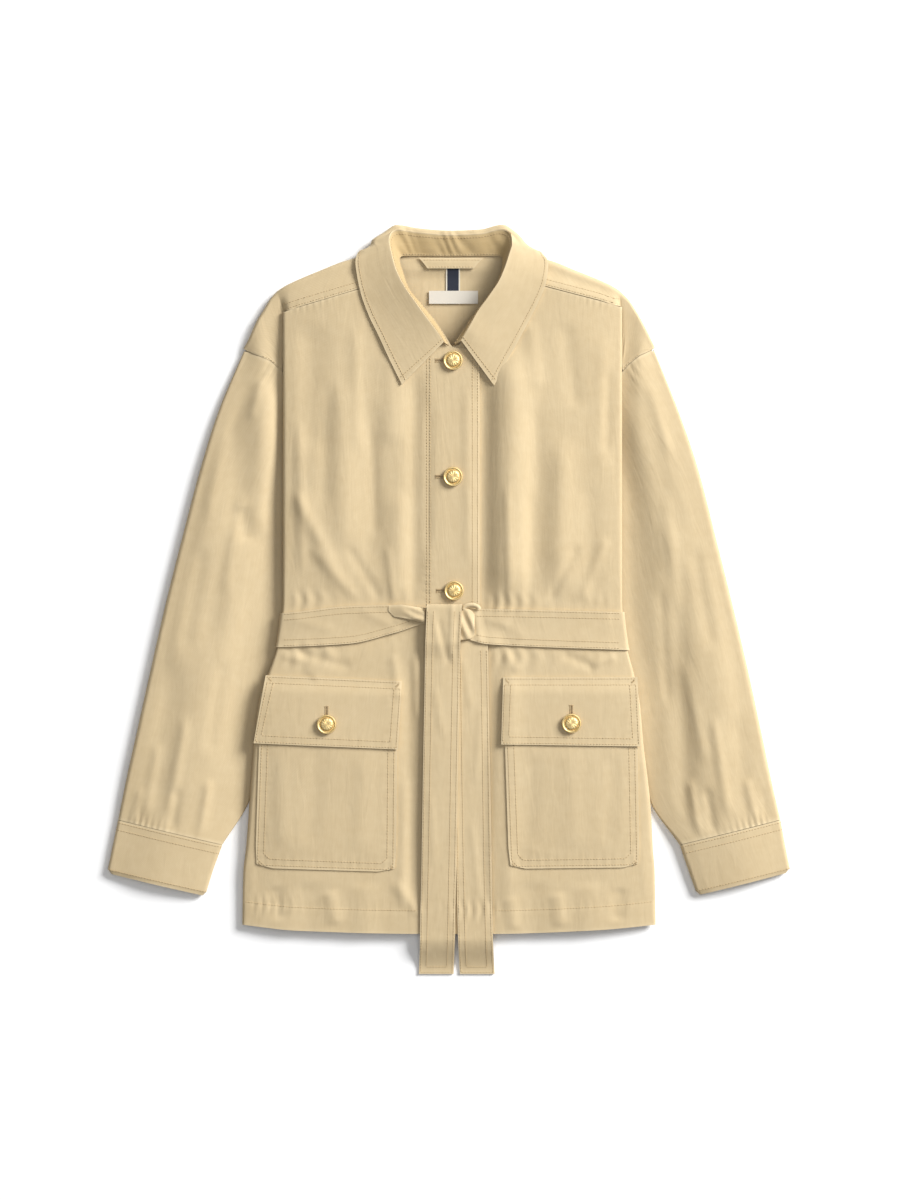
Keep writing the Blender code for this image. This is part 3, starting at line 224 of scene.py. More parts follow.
# The flattened sleeve, ring by ring from armhole to cuff.
Ring = namedtuple("Ring", "out_x out_y in_x in_y out_z crown_at crown shelf_at shelf in_z bulge")
RIGHT_SLEEVE = [
    Ring(-219.2, 267, -132.9, 129.4, 6, 0.11, 10.6, 0.27, 8.2, 7, 1),
    Ring(-247.1, 200.6, -139.6, 103.2, 9, 0.3, 14.5, 0.6, 5.6, 7, 0.45),
    Ring(-265.9, 140.7, -148.2, 63.7, 10, 0.34, 13.4, 0.71, 5.6, 7, 0),
    Ring(-286.2, 63.7, -161, 1.6, 10, 0.38, 14, 0.82, 5.6, 6.5, 0),
    Ring(-304.4, -9.1, -173.9, -54, 10, 0.4, 14, 0.87, 5.6, 6, 0),
    Ring(-319.9, -77.6, -187.8, -112.9, 10, 0.4, 13.8, 0.84, 5.6, 5.5, 0),
    Ring(-334.9, -145, -201.7, -177.1, 10, 0.42, 13.4, 0.9, 5.4, 4.4, 0),
    Ring(-345.1, -191, -213.9, -216.7, 9.5, 0.44, 13.2, 0.94, 4.4, 3.3, 0),
    Ring(-354.2, -235.9, -242.4, -262.7, 8, 0.5, 12.5, 0.85, 10, 8, 0),
]
LEFT_SLEEVE = [
    Ring(220.5, 267.6, 132.5, 129, 6, 0.1, 10.4, 0.25, 8.2, 7, 1),
    Ring(247.2, 200.6, 140.7, 103.2, 9, 0.28, 14.5, 0.53, 5.6, 7, 0.45),
    Ring(267.5, 140.7, 149.3, 63.7, 10, 0.33, 13.4, 0.65, 5.6, 7, 0),
    Ring(287.3, 63.7, 165.3, 1.6, 10, 0.37, 14, 0.78, 5.6, 6.5, 0),
    Ring(305.5, -9.1, 180.3, -54, 10, 0.4, 14, 0.87, 5.6, 6, 0),
    Ring(321.5, -77.6, 196.3, -112.9, 10, 0.4, 13.8, 0.88, 5.6, 5.5, 0),
    Ring(336, -145, 206.5, -177.1, 10, 0.42, 13.4, 0.92, 5.4, 4.4, 0),
    Ring(345.6, -191, 216.6, -216.7, 9.5, 0.44, 13.2, 0.95, 4.4, 3.3, 0),
    Ring(355.8, -235.9, 247.7, -262.7, 8, 0.5, 12.5, 0.85, 10, 8, 0),
]
SLEEVE_FOLDS = [
    Fold(-194, 240, -200, 60, 14, 2.6), Fold(-232, 230, -226, 60, 13, -1.2), Fold(-222, 100, -214, 60, 9, -1.4),
    Fold(-252, 190, -300, -120, 18, 1.2), Fold(-205, 190, -262, -60, 13, -1.6), Fold(-290, -60, -318, -225, 15, -1.4),
    Fold(-225, 20, -262, -190, 12, 1.0), Fold(200, 240, 243, 60, 12, -1.6), Fold(243, 60, 256, -250, 12, -2.6),
    Fold(275, 60, 303, -200, 15, 1.4), Fold(305, -120, 322, -240, 10, -1.0),
]
SLEEVE_CREASES = [
    Fold(-236, 230, -262, 80, 8, 0.45), Fold(-220, 120, -240, 0, 7, 0.4), Fold(-262, 60, -284, -60, 8, -0.4),
    Fold(-240, -60, -258, -170, 7, -0.4), Fold(-280, -120, -300, -235, 6, 0.5), Fold(-310, -150, -326, -238, 6, 0.45),
    Fold(-256, -190, -266, -258, 5, 0.6), Fold(-290, -200, -296, -250, 5, -0.5), Fold(-330, -200, -340, -240, 5, 0.5),
    Fold(-214, 236, -240, 170, 6, -0.4), Fold(-200, 240, -212, 190, 5, 0.4), Fold(216, 236, 238, 150, 6, 0.4),
    Fold(232, 120, 246, -20, 7, 0.4), Fold(262, 60, 284, -60, 8, -0.4), Fold(226, 20, 236, -120, 6, -0.4),
    Fold(282, -120, 300, -236, 6, 0.5), Fold(258, -190, 268, -258, 5, 0.6), Fold(276, -200, 284, -252, 5, -0.5),
    Fold(318, -190, 330, -240, 5, 0.5), Fold(336, -200, 344, -238, 4, -0.4), Fold(250, -60, 276, -180, 7, 0.4),
]
RIGHT_CUFF = [
    Ring(-354.4, -236.35, -242.55, -263.15, 8, 0.5, 12.7, 0.85, 10.2, 8.2, 0),
    Ring(-360.6, -266, -252.5, -290.5, 8, 0.5, 12, 0.85, 9.8, 8, 0),
    Ring(-365.3, -289, -259.6, -313.4, 7.4, 0.5, 11.4, 0.85, 9.2, 7.4, 0),
    Ring(-361.5, -294.2, -263.5, -317.2, 6.4, 0.5, 10.8, 0.85, 8.4, 6.4, 0),
]
LEFT_CUFF = [
    Ring(356, -236.35, 248, -263.15, 8, 0.5, 12.7, 0.85, 10.2, 8.2, 0),
    Ring(361.5, -266, 257.5, -291, 8, 0.5, 12, 0.85, 9.8, 8, 0),
    Ring(366, -288, 265.2, -312.4, 7.4, 0.5, 11.4, 0.85, 9.2, 7.4, 0),
    Ring(362, -293.2, 269.5, -316.4, 6.4, 0.5, 10.8, 0.85, 8.4, 6.4, 0),
]
RIGHT_ARMHOLE = [(-166, 233), (-147, 200), (-136.5, 160)]
LEFT_ARMHOLE = [(172, 231), (149, 199), (137, 160)]

# The collar: its seam, its roll, where it turns under at the back, and its outer edge.
Station = namedtuple("Station", "seam_x seam_y seam_z roll_x roll_y roll_z turn_x turn_y turn_z end_x end_y end_z")
ON_TOP = None
COLLAR = [
    Station(0.4, 271.2, 22.2, -5, 274.6, 25.4, ON_TOP, 0, 0, -49.8, 229.5, 23.6),
    Station(-6.2, 285.2, 22, -12.3, 285.2, 27, ON_TOP, 0, 0, -61.5, 253.1, 23.4),
    Station(-16.2, 300.1, 21.5, -23, 299.6, 28, ON_TOP, 0, 0, -74.4, 280.9, 22.6),
    Station(-29.4, 316.2, 21, -35.8, 317.3, 28.6, ON_TOP, 0, 0, -86.1, 305.5, 21.8),
    Station(-42.6, 333.3, 20, -47.6, 334.4, 28.2, ON_TOP, 0, 0, -93.6, 326.9, 21.5),
    Station(-48.5, 350.5, 16.5, -57.2, 354.7, 26, ON_TOP, 0, 0, -97.9, 347.2, 19.8),
    Station(-52, 363.5, 11, -62.1, 374, 22, ON_TOP, 0, 0, -99.5, 361.5, 17.5),
    Station(-51.9, 364.7, 10.2, -62.7, 376.8, 21, ON_TOP, 0, 0, -98.3, 368, 15.8),
    Station(-51.8, 365.9, 9.5, -63.1, 379.3, 20, -95.5, 373.6, 15.6, -94.2, 369.5, 7),
    Station(-51.2, 367, 8, -63.7, 384.7, 17.5, -82.9, 383.1, 13.5, -84.5, 371, 0),
    Station(-49.5, 368.1, 6.6, -62, 392, 13.5, -68.5, 394.2, 11, -55.1, 372.9, 0),
    Station(-45, 368.6, 5.6, -55, 396.5, 10.6, -56.2, 401.7, 9.6, -54, 370.8, 0),
    Station(-30.5, 368.6, 5.2, -30.5, 393.2, 9.4, -30.5, 397.9, 8.8, -30.5, 361.1, 0),
    Station(1.6, 368.1, 5.2, 1.6, 391, 9.2, 1.6, 395.7, 8.6, 1.6, 360.1, 0),
    Station(33.7, 368.6, 5.2, 33.7, 392.2, 9.4, 33.7, 396.9, 8.8, 33.7, 361.1, 0),
    Station(48.5, 368.6, 5.6, 57, 397, 10.6, 58.3, 402, 9.6, 56.2, 371.8, 0),
    Station(54.5, 368.1, 6.6, 66, 392.8, 13.5, 70.2, 395.2, 11, 58.3, 372.2, 0),
    Station(56.5, 367, 8, 67.9, 384.7, 17.5, 79.5, 386.2, 13.5, 80.3, 366, 0),
    Station(57.4, 365.9, 9.5, 67.9, 378.2, 20, 97, 373.5, 15.6, 97.9, 368.5, 7),
    Station(57.5, 364.7, 10.2, 67.2, 375.8, 21, ON_TOP, 0, 0, 103, 367.2, 15.8),
    Station(57.6, 363.5, 11, 66.3, 373, 22, ON_TOP, 0, 0, 106.8, 360.5, 17.5),
    Station(56.3, 351.5, 16.5, 61.5, 358, 25.5, ON_TOP, 0, 0, 104.3, 338.7, 21.2),
    Station(51, 338, 20, 55.1, 341.9, 27.5, ON_TOP, 0, 0, 95.8, 317.3, 21.8),
    Station(40, 321.6, 21, 43.3, 323.7, 28, ON_TOP, 0, 0, 86.1, 298, 21.8),
    Station(28, 305.6, 21.5, 31.6, 307.6, 27.5, ON_TOP, 0, 0, 74.4, 275.5, 22.6),
    Station(16, 288, 21.8, 22.5, 291.3, 27.8, ON_TOP, 0, 0, 59.4, 248.8, 23.4),
    Station(6, 272.5, 22.2, 13.6, 276, 26.2, ON_TOP, 0, 0, 48.7, 228.4, 23.6),
]

# The pockets and their flaps, each by its four corners.
Corners = namedtuple("Corners", "x_in_top y_in_top x_out_top y_out_top x_in_low y_in_low x_out_low y_out_low")
RIGHT_BAG = Corners(-54.5, -104, -200.5, -100, -56.2, -291.6, -207, -287)
LEFT_BAG = Corners(58.5, -102, 201, -102, 64.7, -288, 204.5, -286.5)
RIGHT_FLAP = Corners(-49.8, -87.2, -195.3, -80.8, -54, -160, -208.1, -153.5)
LEFT_FLAP = Corners(58.3, -82.9, 201.7, -82.9, 56.2, -154.6, 204.9, -156.8)
POCKETS = (("right", RIGHT_BAG, RIGHT_FLAP), ("left", LEFT_BAG, LEFT_FLAP))
BAG_CREASES = [
    Fold(-90, -160, -96, -280, 10, 0.6), Fold(-140, -150, -150, -270, 12, -0.7), Fold(-180, -160, -178, -270, 8, 0.5),
    Fold(90, -160, 84, -270, 9, -0.6), Fold(130, -150, 134, -280, 12, 0.6), Fold(176, -160, 172, -270, 9, -0.6),
    Fold(-70, -270, -130, -284, 6, 0.4), Fold(80, -268, 150, -280, 6, 0.4),
]

# The belt's edges where it runs over the fronts.
Run = namedtuple("Run", "x upper lower")
BELT_FRONT = [
    Run(-190, -14.4, -50.8), Run(-178, -14.2, -50.6), Run(-105, -7, -47), Run(-57, -5.9, -35.5),
    Run(-18, -9.4, -25), Run(14, -11, -38), Run(24, -10, -43.3), Run(42.3, -10.2, -47.6), Run(190, -13.4, -54),
]
BELT_CREASES = [
    Fold(-170, -20, -120, -34, 5, 0.5), Fold(-130, -12, -90, -40, 6, -0.5), Fold(-96, -10, -52, -32, 5, 0.6),
    Fold(-70, -40, -24, -16, 4, 0.6), Fold(50, -14, 84, -44, 6, 0.5), Fold(90, -16, 130, -30, 6, -0.5),
    Fold(130, -46, 176, -20, 6, 0.5), Fold(-6, -46, 60, -47, 9, 1.9), Fold(28, -8, 34, -50, 4, 1.4),
    Fold(-60, -24, -20, -19, 3, 1.2), Fold(38, -20, 66, -30, 4, 0.8),
]
# The belt's ends: their left edge, and how high they lie over the front.
Tail = namedtuple("Tail", "y x z")
TAIL_OVER = [
    Tail(-5.5, -23, 9), Tail(-30, -24, 10), Tail(-46, -24.6, 9.2), Tail(-56, -24.9, 6.8),
    Tail(-66, -25.1, 5.2), Tail(-80, -25.3, 4.8), Tail(-161, -26.8, 4.6), Tail(-240, -28.1, 4.4),
    Tail(-268, -28.6, 4.1), Tail(-352, -30.3, 2.4), Tail(-368.6, -30.6, 2.2), Tail(-401.8, -31.8, 2),
]
TAIL_UNDER = [
    Tail(-40, 4.6, 2.1), Tail(-49, 4.8, 2.2), Tail(-80, 5.4, 2.1), Tail(-161, 6.6, 2.1),
    Tail(-268, 8.2, 2.1), Tail(-352, 10, 2.2), Tail(-368.6, 10.5, 2.1), Tail(-401.8, 12.2, 2),
]
TAIL_CREASES = [
    Fold(3.5, 4, 4, -70, 2.4, 1.1), Fold(-12, -18, 1, -72, 2.6, -1.0), Fold(11, -16, 5, -60, 2.2, -0.8),
    Fold(-18, -10, -8, -60, 3, 0.6), Fold(-16, -90, -4, -150, 4, 0.5), Fold(-20, -200, -14, -290, 4, 0.5),
    Fold(16, -60, 24, -120, 4, 0.6), Fold(36, -110, 28, -200, 4, 0.5), Fold(24, -230, 34, -330, 4, 0.5),
]
# The knot: its edges, and its height over the front.
Bunch = namedtuple("Bunch", "x upper lower high")
KNOT = [
    Bunch(-15, -14, -38, 6), Bunch(-9, -9.5, -42, 7), Bunch(2, -8.5, -43.5, 7.1), Bunch(13, -9, -43.5, 7.1),
    Bunch(20, -9.8, -43, 6.9), Bunch(25, -12, -41.5, 6.4), Bunch(27.8, -16, -38, 5.4),
]

# The hanger loop, its tape and the label: rows of places across each, with their heights over the back.
TAPE_ROWS = [[(x, y, GAP + 0.6) for x in (-2.7, 12.3)] for y in (317, 331, 343, 349, 356, 364)]
LABEL_ROWS = [[(x, y, GAP * 2 + 1.4) for x in (-20.9, 5, 31.6)] for y in (317.3, 331.2)]
LOOP_ROWS = [
    [(-22.7, 355, 2.8), (-10, 355, 3), (8, 355, 3.1), (20, 355, 3), (27.3, 355, 2.8)],
    [(-27, 361, 2.6), (-12, 361, 3), (8, 361, 3.1), (22, 361, 3), (32, 361, 2.6)],
    [(x, 366.5, 2) for x in (-32, -14, 8, 24, 38)],
]

# The buttons, and what each lies on.
Spot = namedtuple("Spot", "node x y on")
BUTTONS = [
    Spot("button_top", 4.8, 255.2, "front"), Spot("button_chest", 4.8, 131.1, "front"),
    Spot("button_waist", 5.9, 9.4, "front"), Spot("button_flap_right", -130, -133.2, "flap"),
    Spot("button_flap_left", 131.1, -132.1, "flap"),
]
# A button's outline from its back to the foot of its dome, then the dome's rings as shares of its radius.
BUTTON_RINGS = (
    (2.4, 1.3), (6.5, 1.5), (9.9, 2.2), (10.3, 3.1), (10.0, 3.7), (9.2, 3.9), (8.5, 3.6), (8.0, 3.2), (7.2, 3.2),
    (6.8, 3.5), (6.4, 4.1),
)
DOME_SHARES = (0.86, 0.7, 0.5, 0.28, 0.1)
DOME_RADIUS = 6.4
DOME_FOOT = 4.1
DOME_HEIGHT = 0.75
# The rays of its sunburst, and the rope of beads inside its rim.
RAYS = 12
BEADS = 36
ROPE_RADIUS = 7.6
ROPE_HEIGHT = 3.35

# Seams whose stitching draws the cloth in: a line, how far the puckers reach from it and how high they stand.
Pucker = namedtuple("Pucker", "x0 y0 x1 y1 reach rise pitch")
BODY_PUCKERS = [
    Pucker(-222, -326, 0, -333, 17, 0.75, 9), Pucker(0, -333, 223, -326, 17, 0.75, 10),
    Pucker(-22, 300, -22, -6, 9, 0.3, 8), Pucker(29, 262, 29, -6, 8, 0.14, 11),
    Pucker(-177, 309, -85, 337, 14, 0.6, 7), Pucker(185, 314, 90, 340, 14, 0.6, 7),
    Pucker(-176, 280, -190, 252, 12, 0.5, 6), Pucker(184, 280, 196, 252, 12, 0.5, 6),
    Pucker(-180, -1, -30, 2, 17, 0.7, 15), Pucker(40, -3, 186, -3, 17, 0.8, 13),
    Pucker(-180, -62, -30, -48, 20, 0.6, 17), Pucker(46, -62, 190, -64, 20, 0.7, 16),
]
SLEEVE_PUCKERS = [
    Pucker(-354, -234, -242, -261, 16, 0.6, 6.5), Pucker(356, -234, 248, -261, 16, 0.6, 6.5),
    Pucker(-219, 262, -176, 240, 26, 0.9, 8), Pucker(220, 262, 186, 240, 26, 0.9, 8),
]

# The stage, in metres and watts: the strength of the light all round, the camera's place and two soft lamps.
FILL = 0.12
CAMERA_PLACE = (0.0016, -0.0005)
Lamp = namedtuple("Lamp", "name place size power")
LIGHTS = [Lamp("key", (8.6, 6.0, 5.8), 5.2, 2540), Lamp("soft", (0, 0, 4.4), 4.0, 66)]

# What has been made so far: materials, each panel's grid and mesh, and search trees for the stitching.
MATERIALS = {}
PIECES = {}
MESHES = {}
TREES = {}


def smooth_step(t):
    """Goes smoothly from 0 to 1."""
    t = np.clip(t, 0, 1)
    return t * t * (3 - 2 * t)


def bend(places, values, at):
    """A smooth curve through values at rising places, that never passes beyond two neighbours."""
    places, values = np.asarray(places, float), np.asarray(values, float)
    step = np.diff(places)
    rise = np.diff(values) / step
    slope = np.zeros(len(values))
    turning = rise[:-1] * rise[1:] > 0
    both = rise[:-1] + rise[1:]
    slope[1:-1][turning] = 2 * (rise[:-1] * rise[1:])[turning] / both[turning]
    slope[0], slope[-1] = rise[0], rise[-1]
    at = np.clip(at, places[0], places[-1])
    i = np.clip(np.searchsorted(places, at, "right") - 1, 0, len(step) - 1)
    t = (at - places[i]) / step[i]
    start = values[i] * (1 + 2 * t) * (1 - t) ** 2 + slope[i] * step[i] * t * (1 - t) ** 2
    end = values[i + 1] * t * t * (3 - 2 * t) - slope[i + 1] * step[i] * t * t * (1 - t)
    return start + end


def read(rows, key, name, at, way=bend):
    """One column of a table, read smoothly at places along another column."""
    rows = sorted(rows, key=lambda row: getattr(row, key))
    return way([getattr(row, key) for row in rows], [getattr(row, name) for row in rows], at)


def read_straight(rows, key, name, at):
    """One column of a table, read along straight lines."""
    return read(rows, key, name, at, lambda places, values, where: np.interp(where, places, values))


def travelled(points):
    """How far each of a line's points lies from its start, along the line."""
    return np.concatenate([[0], np.cumsum(np.linalg.norm(np.diff(points, axis=0), axis=1))])


def on_line(lengths, points, at):
    """A line's points, read straight at distances along it."""
    return np.stack([np.interp(at, lengths, column) for column in np.transpose(points)], axis=-1)


def along_path(path, shares):
    """Points at shares of a path's length."""
    lengths = travelled(path)
    return on_line(lengths, path, np.asarray(shares) * lengths[-1])


def of_side(x, name, y):
    """A column of the table for the side of the body that x is on."""
    return np.where(x < 0, read(RIGHT_SIDE, "y", name, y), read(LEFT_SIDE, "y", name, y))


def bell(t):
    """One in the middle, falling off to both sides."""
    return np.exp(-(t**2))


def along_and_aside(line, x, y):
    """A line's length, and how far places lie along it and to one side of it."""
    run_x, run_y = line.x1 - line.x0, line.y1 - line.y0
    length = math.hypot(run_x, run_y)
    along = ((x - line.x0) * run_x + (y - line.y0) * run_y) / length
    return length, along, ((x - line.x0) * run_y - (y - line.y0) * run_x) / length


def fold_height(folds, x, y, fading=0.35):
    """What the ridges and troughs add to the height at a place. Each fades out towards its ends."""
    total = 0.0 * x
    for fold in folds:
        length, along, aside = along_and_aside(fold, x, y)
        fade = smooth_step((1 - np.abs(2 * along / length - 1)) / fading)
        total = total + fold.rise * fade * bell(aside / fold.half)
    return total


def pucker_height(puckers, x, y, end=6):
    """Short uneven ripples across a stitched seam, which run out at its ends."""
    total = 0.0 * x
    for p in puckers:
        length, along, aside = along_and_aside(p, x, y)
        aside = np.abs(aside)
        near = smooth_step(1 - aside / p.reach)
        near = near * smooth_step((length / 2 + end - np.abs(along - length / 2)) / (2 * end))
        wave = np.sin(2 * math.pi * along / p.pitch + 1.3 * np.sin(along / 19) + aside * 0.12)
        uneven = 0.55 + 0.45 * np.sin(along / 31 + 2 * np.sin(along / 53))
        total = total + p.rise * near * wave * uneven
    return total


def drift(x, y):
    """The slow, shallow unevenness of washed cloth that has been smoothed out by hand."""
    one = np.sin(x / 37 + 1.7 * np.sin(y / 61)) * np.sin(y / 83 + 0.9 * np.sin(x / 47))
    two = np.sin((x + 0.6 * y) / 23 + 2.1) * np.sin((y - 0.4 * x) / 41 + 0.7)
    return 0.35 * one + 0.22 * two


def creased(x, y):
    """Height of the fronts' outer face: crown and folds, with the creases, puckers and unevenness on them."""
    x, y = np.asarray(x, float), np.asarray(y, float)
    inside = of_side(x, "fold", y) - np.abs(x)
    top = of_side(x, "top", y)
    spread = 1 - (1 - np.clip(inside / CROWN_SPREAD, 0, 1)) ** 2
    height = top + (read(CROWN, "y", "z", y) - top) * spread
    height = height + fold_height(BODY_FOLDS, x, y) * smooth_step((inside - 4) / 20)
    extra = CREASE_DEPTH * fold_height(BODY_CREASES, x, y) + pucker_height(BODY_PUCKERS, x, y) + drift(x, y)
    return height + extra * smooth_step((inside - 3) / 14)


def back_lift(x, y):
    """How far the back panel rises over the belt's back run and over the collar turned under it."""
    x, y = np.asarray(x, float), np.asarray(y, float)
    over_belt = smooth_step((y - BELT_BACK_LOWER + 11) / 9) * smooth_step((BELT_BACK_UPPER + 11 - y) / 9)
    over_collar = smooth_step((y - 343) / 13) * smooth_step((116 - np.abs(x)) / 14)
    return BELT_LIFT * np.maximum(over_belt, over_collar)


def lengths_across(grid, axis):
    """How far each point of a grid lies from the start of its column (axis 0) or row (axis 1)."""
    steps = np.linalg.norm(np.diff(grid, axis=axis), axis=2)
    return np.concatenate([np.zeros_like(steps.take([0], axis=axis)), np.cumsum(steps, axis=axis)], axis=axis)


def grid_mesh(name, grid, closed=False, flip=False):
    """A mesh through rows of points, with a UV map in metres along the cloth. A point of NaN leaves a hole."""
    rows, columns = grid.shape[:2]
    whole = ~np.isnan(grid[..., 0])
    filled = np.where(np.isnan(grid), 0, grid)
    across, down = lengths_across(filled, 1), lengths_across(filled, 0)
    u = (across - across[:, columns // 2 : columns // 2 + 1]) * MM
    v = np.nanmean(down, axis=1, keepdims=True) * MM * np.ones((1, columns))
    u_closed = u[:, -1] + np.linalg.norm(filled[:, 0] - filled[:, -1], axis=1) * MM
    index = np.cumsum(whole.ravel()).reshape(rows, columns) - 1
    faces, corners = [], []
    for i in range(rows - 1):
        for j in range(columns if closed else columns - 1):
            k = (j + 1) % columns
            cell = ((i, j), (i, k), (i + 1, k), (i + 1, j))
            if not all(whole[c] for c in cell):
                continue
            cell = cell[::-1] if flip else cell
            faces.append([int(index[c]) for c in cell])
            corners += [(u_closed[c[0]] if k == 0 == c[1] else u[c], v[c]) for c in cell]
    mesh = bpy.data.meshes.new(name)
    mesh.from_pydata((filled[whole] * MM).tolist(), [], faces)
    mesh.uv_layers.new(name="cloth").data.foreach_set("uv", np.array(corners, np.float32).ravel())
    mesh.polygons.foreach_set("use_smooth", [True] * len(faces))
    uses = np.bincount([loop.edge_index for loop in mesh.loops], minlength=len(mesh.edges))
    mesh.attributes.new("sharp_edge", "BOOLEAN", "EDGE").data.foreach_set("value", uses == 1)
    from_edge = np.minimum(down, down[-1:] - down)
    if not closed:
        from_edge = np.minimum(from_edge, np.minimum(across, across[:, -1:] - across))
    wear = bell(from_edge / WORN)[whole].astype(np.float32)
    mesh.attributes.new("wear", "FLOAT", "POINT").data.foreach_set("value", wear)
    return mesh


def keep(piece, replaces=()):
    """The piece rides on the jacket's one body, and stands for its CAD node if it has one."""
    bpy.context.scene.collection.objects.link(piece)
    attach(piece, "root")
    if replaces:
        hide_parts(*replaces)


def cloth(name, grid, wall=CLOTH, material="twill", slot="twill", rests_on=("back",), *, closed=False, flip=False,
          node=True):
    """A panel of cloth: its outer face as a grid, its wall inward, riding on the jacket."""
    grid = np.asarray(grid, float)
    mesh = grid_mesh(name, grid, closed, flip)
    mesh.materials.append(material_for(material))
    piece = bpy.data.objects.new(name + "_cloth", mesh)
    thick = piece.modifiers.new("wall", "SOLIDIFY")
    thick.thickness = wall * MM
    thick.offset = -1
    thick.use_even_offset = True
    thick.use_quality_normals = True
    even = piece.modifiers.new("even_normals", "WEIGHTED_NORMAL")
    even.weight = 100
    even.keep_sharp = True
    PIECES[name], MESHES[name] = grid, mesh
    keep(piece, [name] if node else ())


def finer(rows, count):
    """Rows of points with more rows between them, read smoothly along the way across the rows."""
    rows = np.asarray(rows, float)
    steps = np.nanmean(np.linalg.norm(np.diff(rows, axis=0), axis=2), axis=1)
    places = np.concatenate([[0], np.cumsum(np.maximum(steps, 0.01))])
    wanted = np.linspace(0, places[-1], count)
    lines = rows.reshape(len(rows), -1).T
    return np.array([bend(places, line, wanted) for line in lines]).T.reshape(count, *rows.shape[1:])


def table_finer(rows, places, count):
    """A table's rows read smoothly at evenly spread places, and those places."""
    wanted = np.linspace(0, places[-1], count)
    columns = [bend(places, [row[i] for row in rows], wanted) for i in range(len(rows[0]))]
    return [type(rows[0])(*(float(value) for value in row)) for row in zip(*columns)], wanted


def side_turn(side, y, out=0.0):
    """The body's side at heights of the jacket: its seam, its underside, its fold's middle, and the turn round it."""
    fold, seam, top, under = (read(side, "y", name, y) for name in ("fold", "seam", "top", "under"))
    radius = (top - under) / 2
    middle = fold - radius
    turns = [math.radians(90 - 180 * step / TURN_STEPS) for step in range(TURN_STEPS + 1)]
    reach = radius + out
    return seam, under, middle, [(middle + reach * math.cos(t), under + radius + reach * math.sin(t)) for t in turns]


def side_section(side, y):
    """The body's side in section: round its fold, back under it and down to the back."""
    seam, under, middle, points = side_turn(side, y)
    down_to = back_lift(0 * y, y) + CLOTH + 2 * GAP
    end = down_to + (under - UNDERARM_RISE - down_to) * smooth_step((y - UNDERARM_Y) / UNDERARM_REACH + 1)
    corner = np.minimum(SEAM_CORNER, np.minimum((under - end) / 2, (middle - seam) * 0.6))
    points = points[1:] + [(middle + (seam + corner - middle) * share, under) for share in (0.2, 0.4, 0.6, 0.8)]
    for turn in (math.radians(90 - 30 * step) for step in range(4)):
        points.append((seam + corner * (1 - math.cos(turn)), under - corner * (1 - math.sin(turn))))
    return points + [(seam, end)]


def turned_hem(x, y):
    """How much higher the fronts stand where their hem is turned in."""
    return TURNED_IN * smooth_step((read(HEM, "x", "y", x) + HEM_DEPTH - y) / TURNED_EASE)


def front_grid(side, sign, top_edge, columns=88, rows=262):
    """One front: across the body from its middle edge, round the side fold and back under it to the seam."""
    across, along = np.meshgrid(np.linspace(0, 1, columns), np.linspace(0, 1, rows))
    middle_edge = top_edge[0].x
    # Width and height depend on each other, so both start from a guess and are found in a few rounds.
    y = -350 + along * 660
    for _ in range(6):
        radius = (read(side, "y", "top", y) - read(side, "y", "under", y)) / 2
        x = middle_edge + across * (sign * (read(side, "y", "fold", y) - radius) - middle_edge)
        low, high = read(HEM, "x", "y", x), read_straight(top_edge, "x", "y", x)
        y = low + along * (high - low)
    z = creased(x, y)
    if sign > 0:
        z = z - LAP_DROP * (1 - smooth_step((x - LAP_FROM) / (LAP_TO - LAP_FROM)))
        z = z + turned_hem(x, y) * smooth_step((x - LAP_FROM) / 10)
    else:
        placket = TURNED_IN * smooth_step((x - PLACKET_FROM) / TURNED_EASE) * smooth_step(PLACKET_TO - x)
        z = z + np.maximum(turned_hem(x, y), placket) * smooth_step((PLACKET_TO - x) / 2)
    edge_y = y[:, -1]
    around = [np.stack([sign * out, edge_y, height], axis=1) for out, height in side_section(side, edge_y)]
    return np.concatenate([np.stack([x, y, z], axis=2), np.stack(around, axis=1)], axis=1)


def shoulder_line(over):
    """One line of the back over the shoulder, from the surface, round the turn, to the seam in front."""
    start = np.array([over.x, over.y])
    run = np.array([over.end_x, over.end_y]) - start
    reach = float(np.hypot(*run))
    ahead = run / reach
    low = float(back_lift(over.x, over.y))
    radius = (over.z - low) / 2
    line = []
    for turn in np.linspace(0, math.pi, SHOULDER_STEPS + 1):
        line.append((*(start + ahead * radius * (1 - math.sin(turn))), low + radius * (1 - math.cos(turn))))
    flat = reach - SEAM_GAP - radius
    for share in np.linspace(0, 1, SHOULDER_STEPS + 1)[1:]:
        place = start + ahead * (radius + flat * share)
        height = over.z + (over.end_z - over.z) * float(smooth_step(share))
        near = float(smooth_step(flat * share / 8))
        line.append((*place, height + near * float(pucker_height(BODY_PUCKERS, *place) + drift(*place))))
    return line


def shoulder_lines(rows, count):
    """The back's lines over one shoulder, and where each lies among the table's rows."""
    places = travelled([(row.end_x, row.end_y) for row in rows]) + travelled([(row.x, row.y) for row in rows])
    overs, wanted = table_finer(rows, places, count)
    return [shoulder_line(over) for over in overs], np.interp(wanted, places, range(len(rows)))


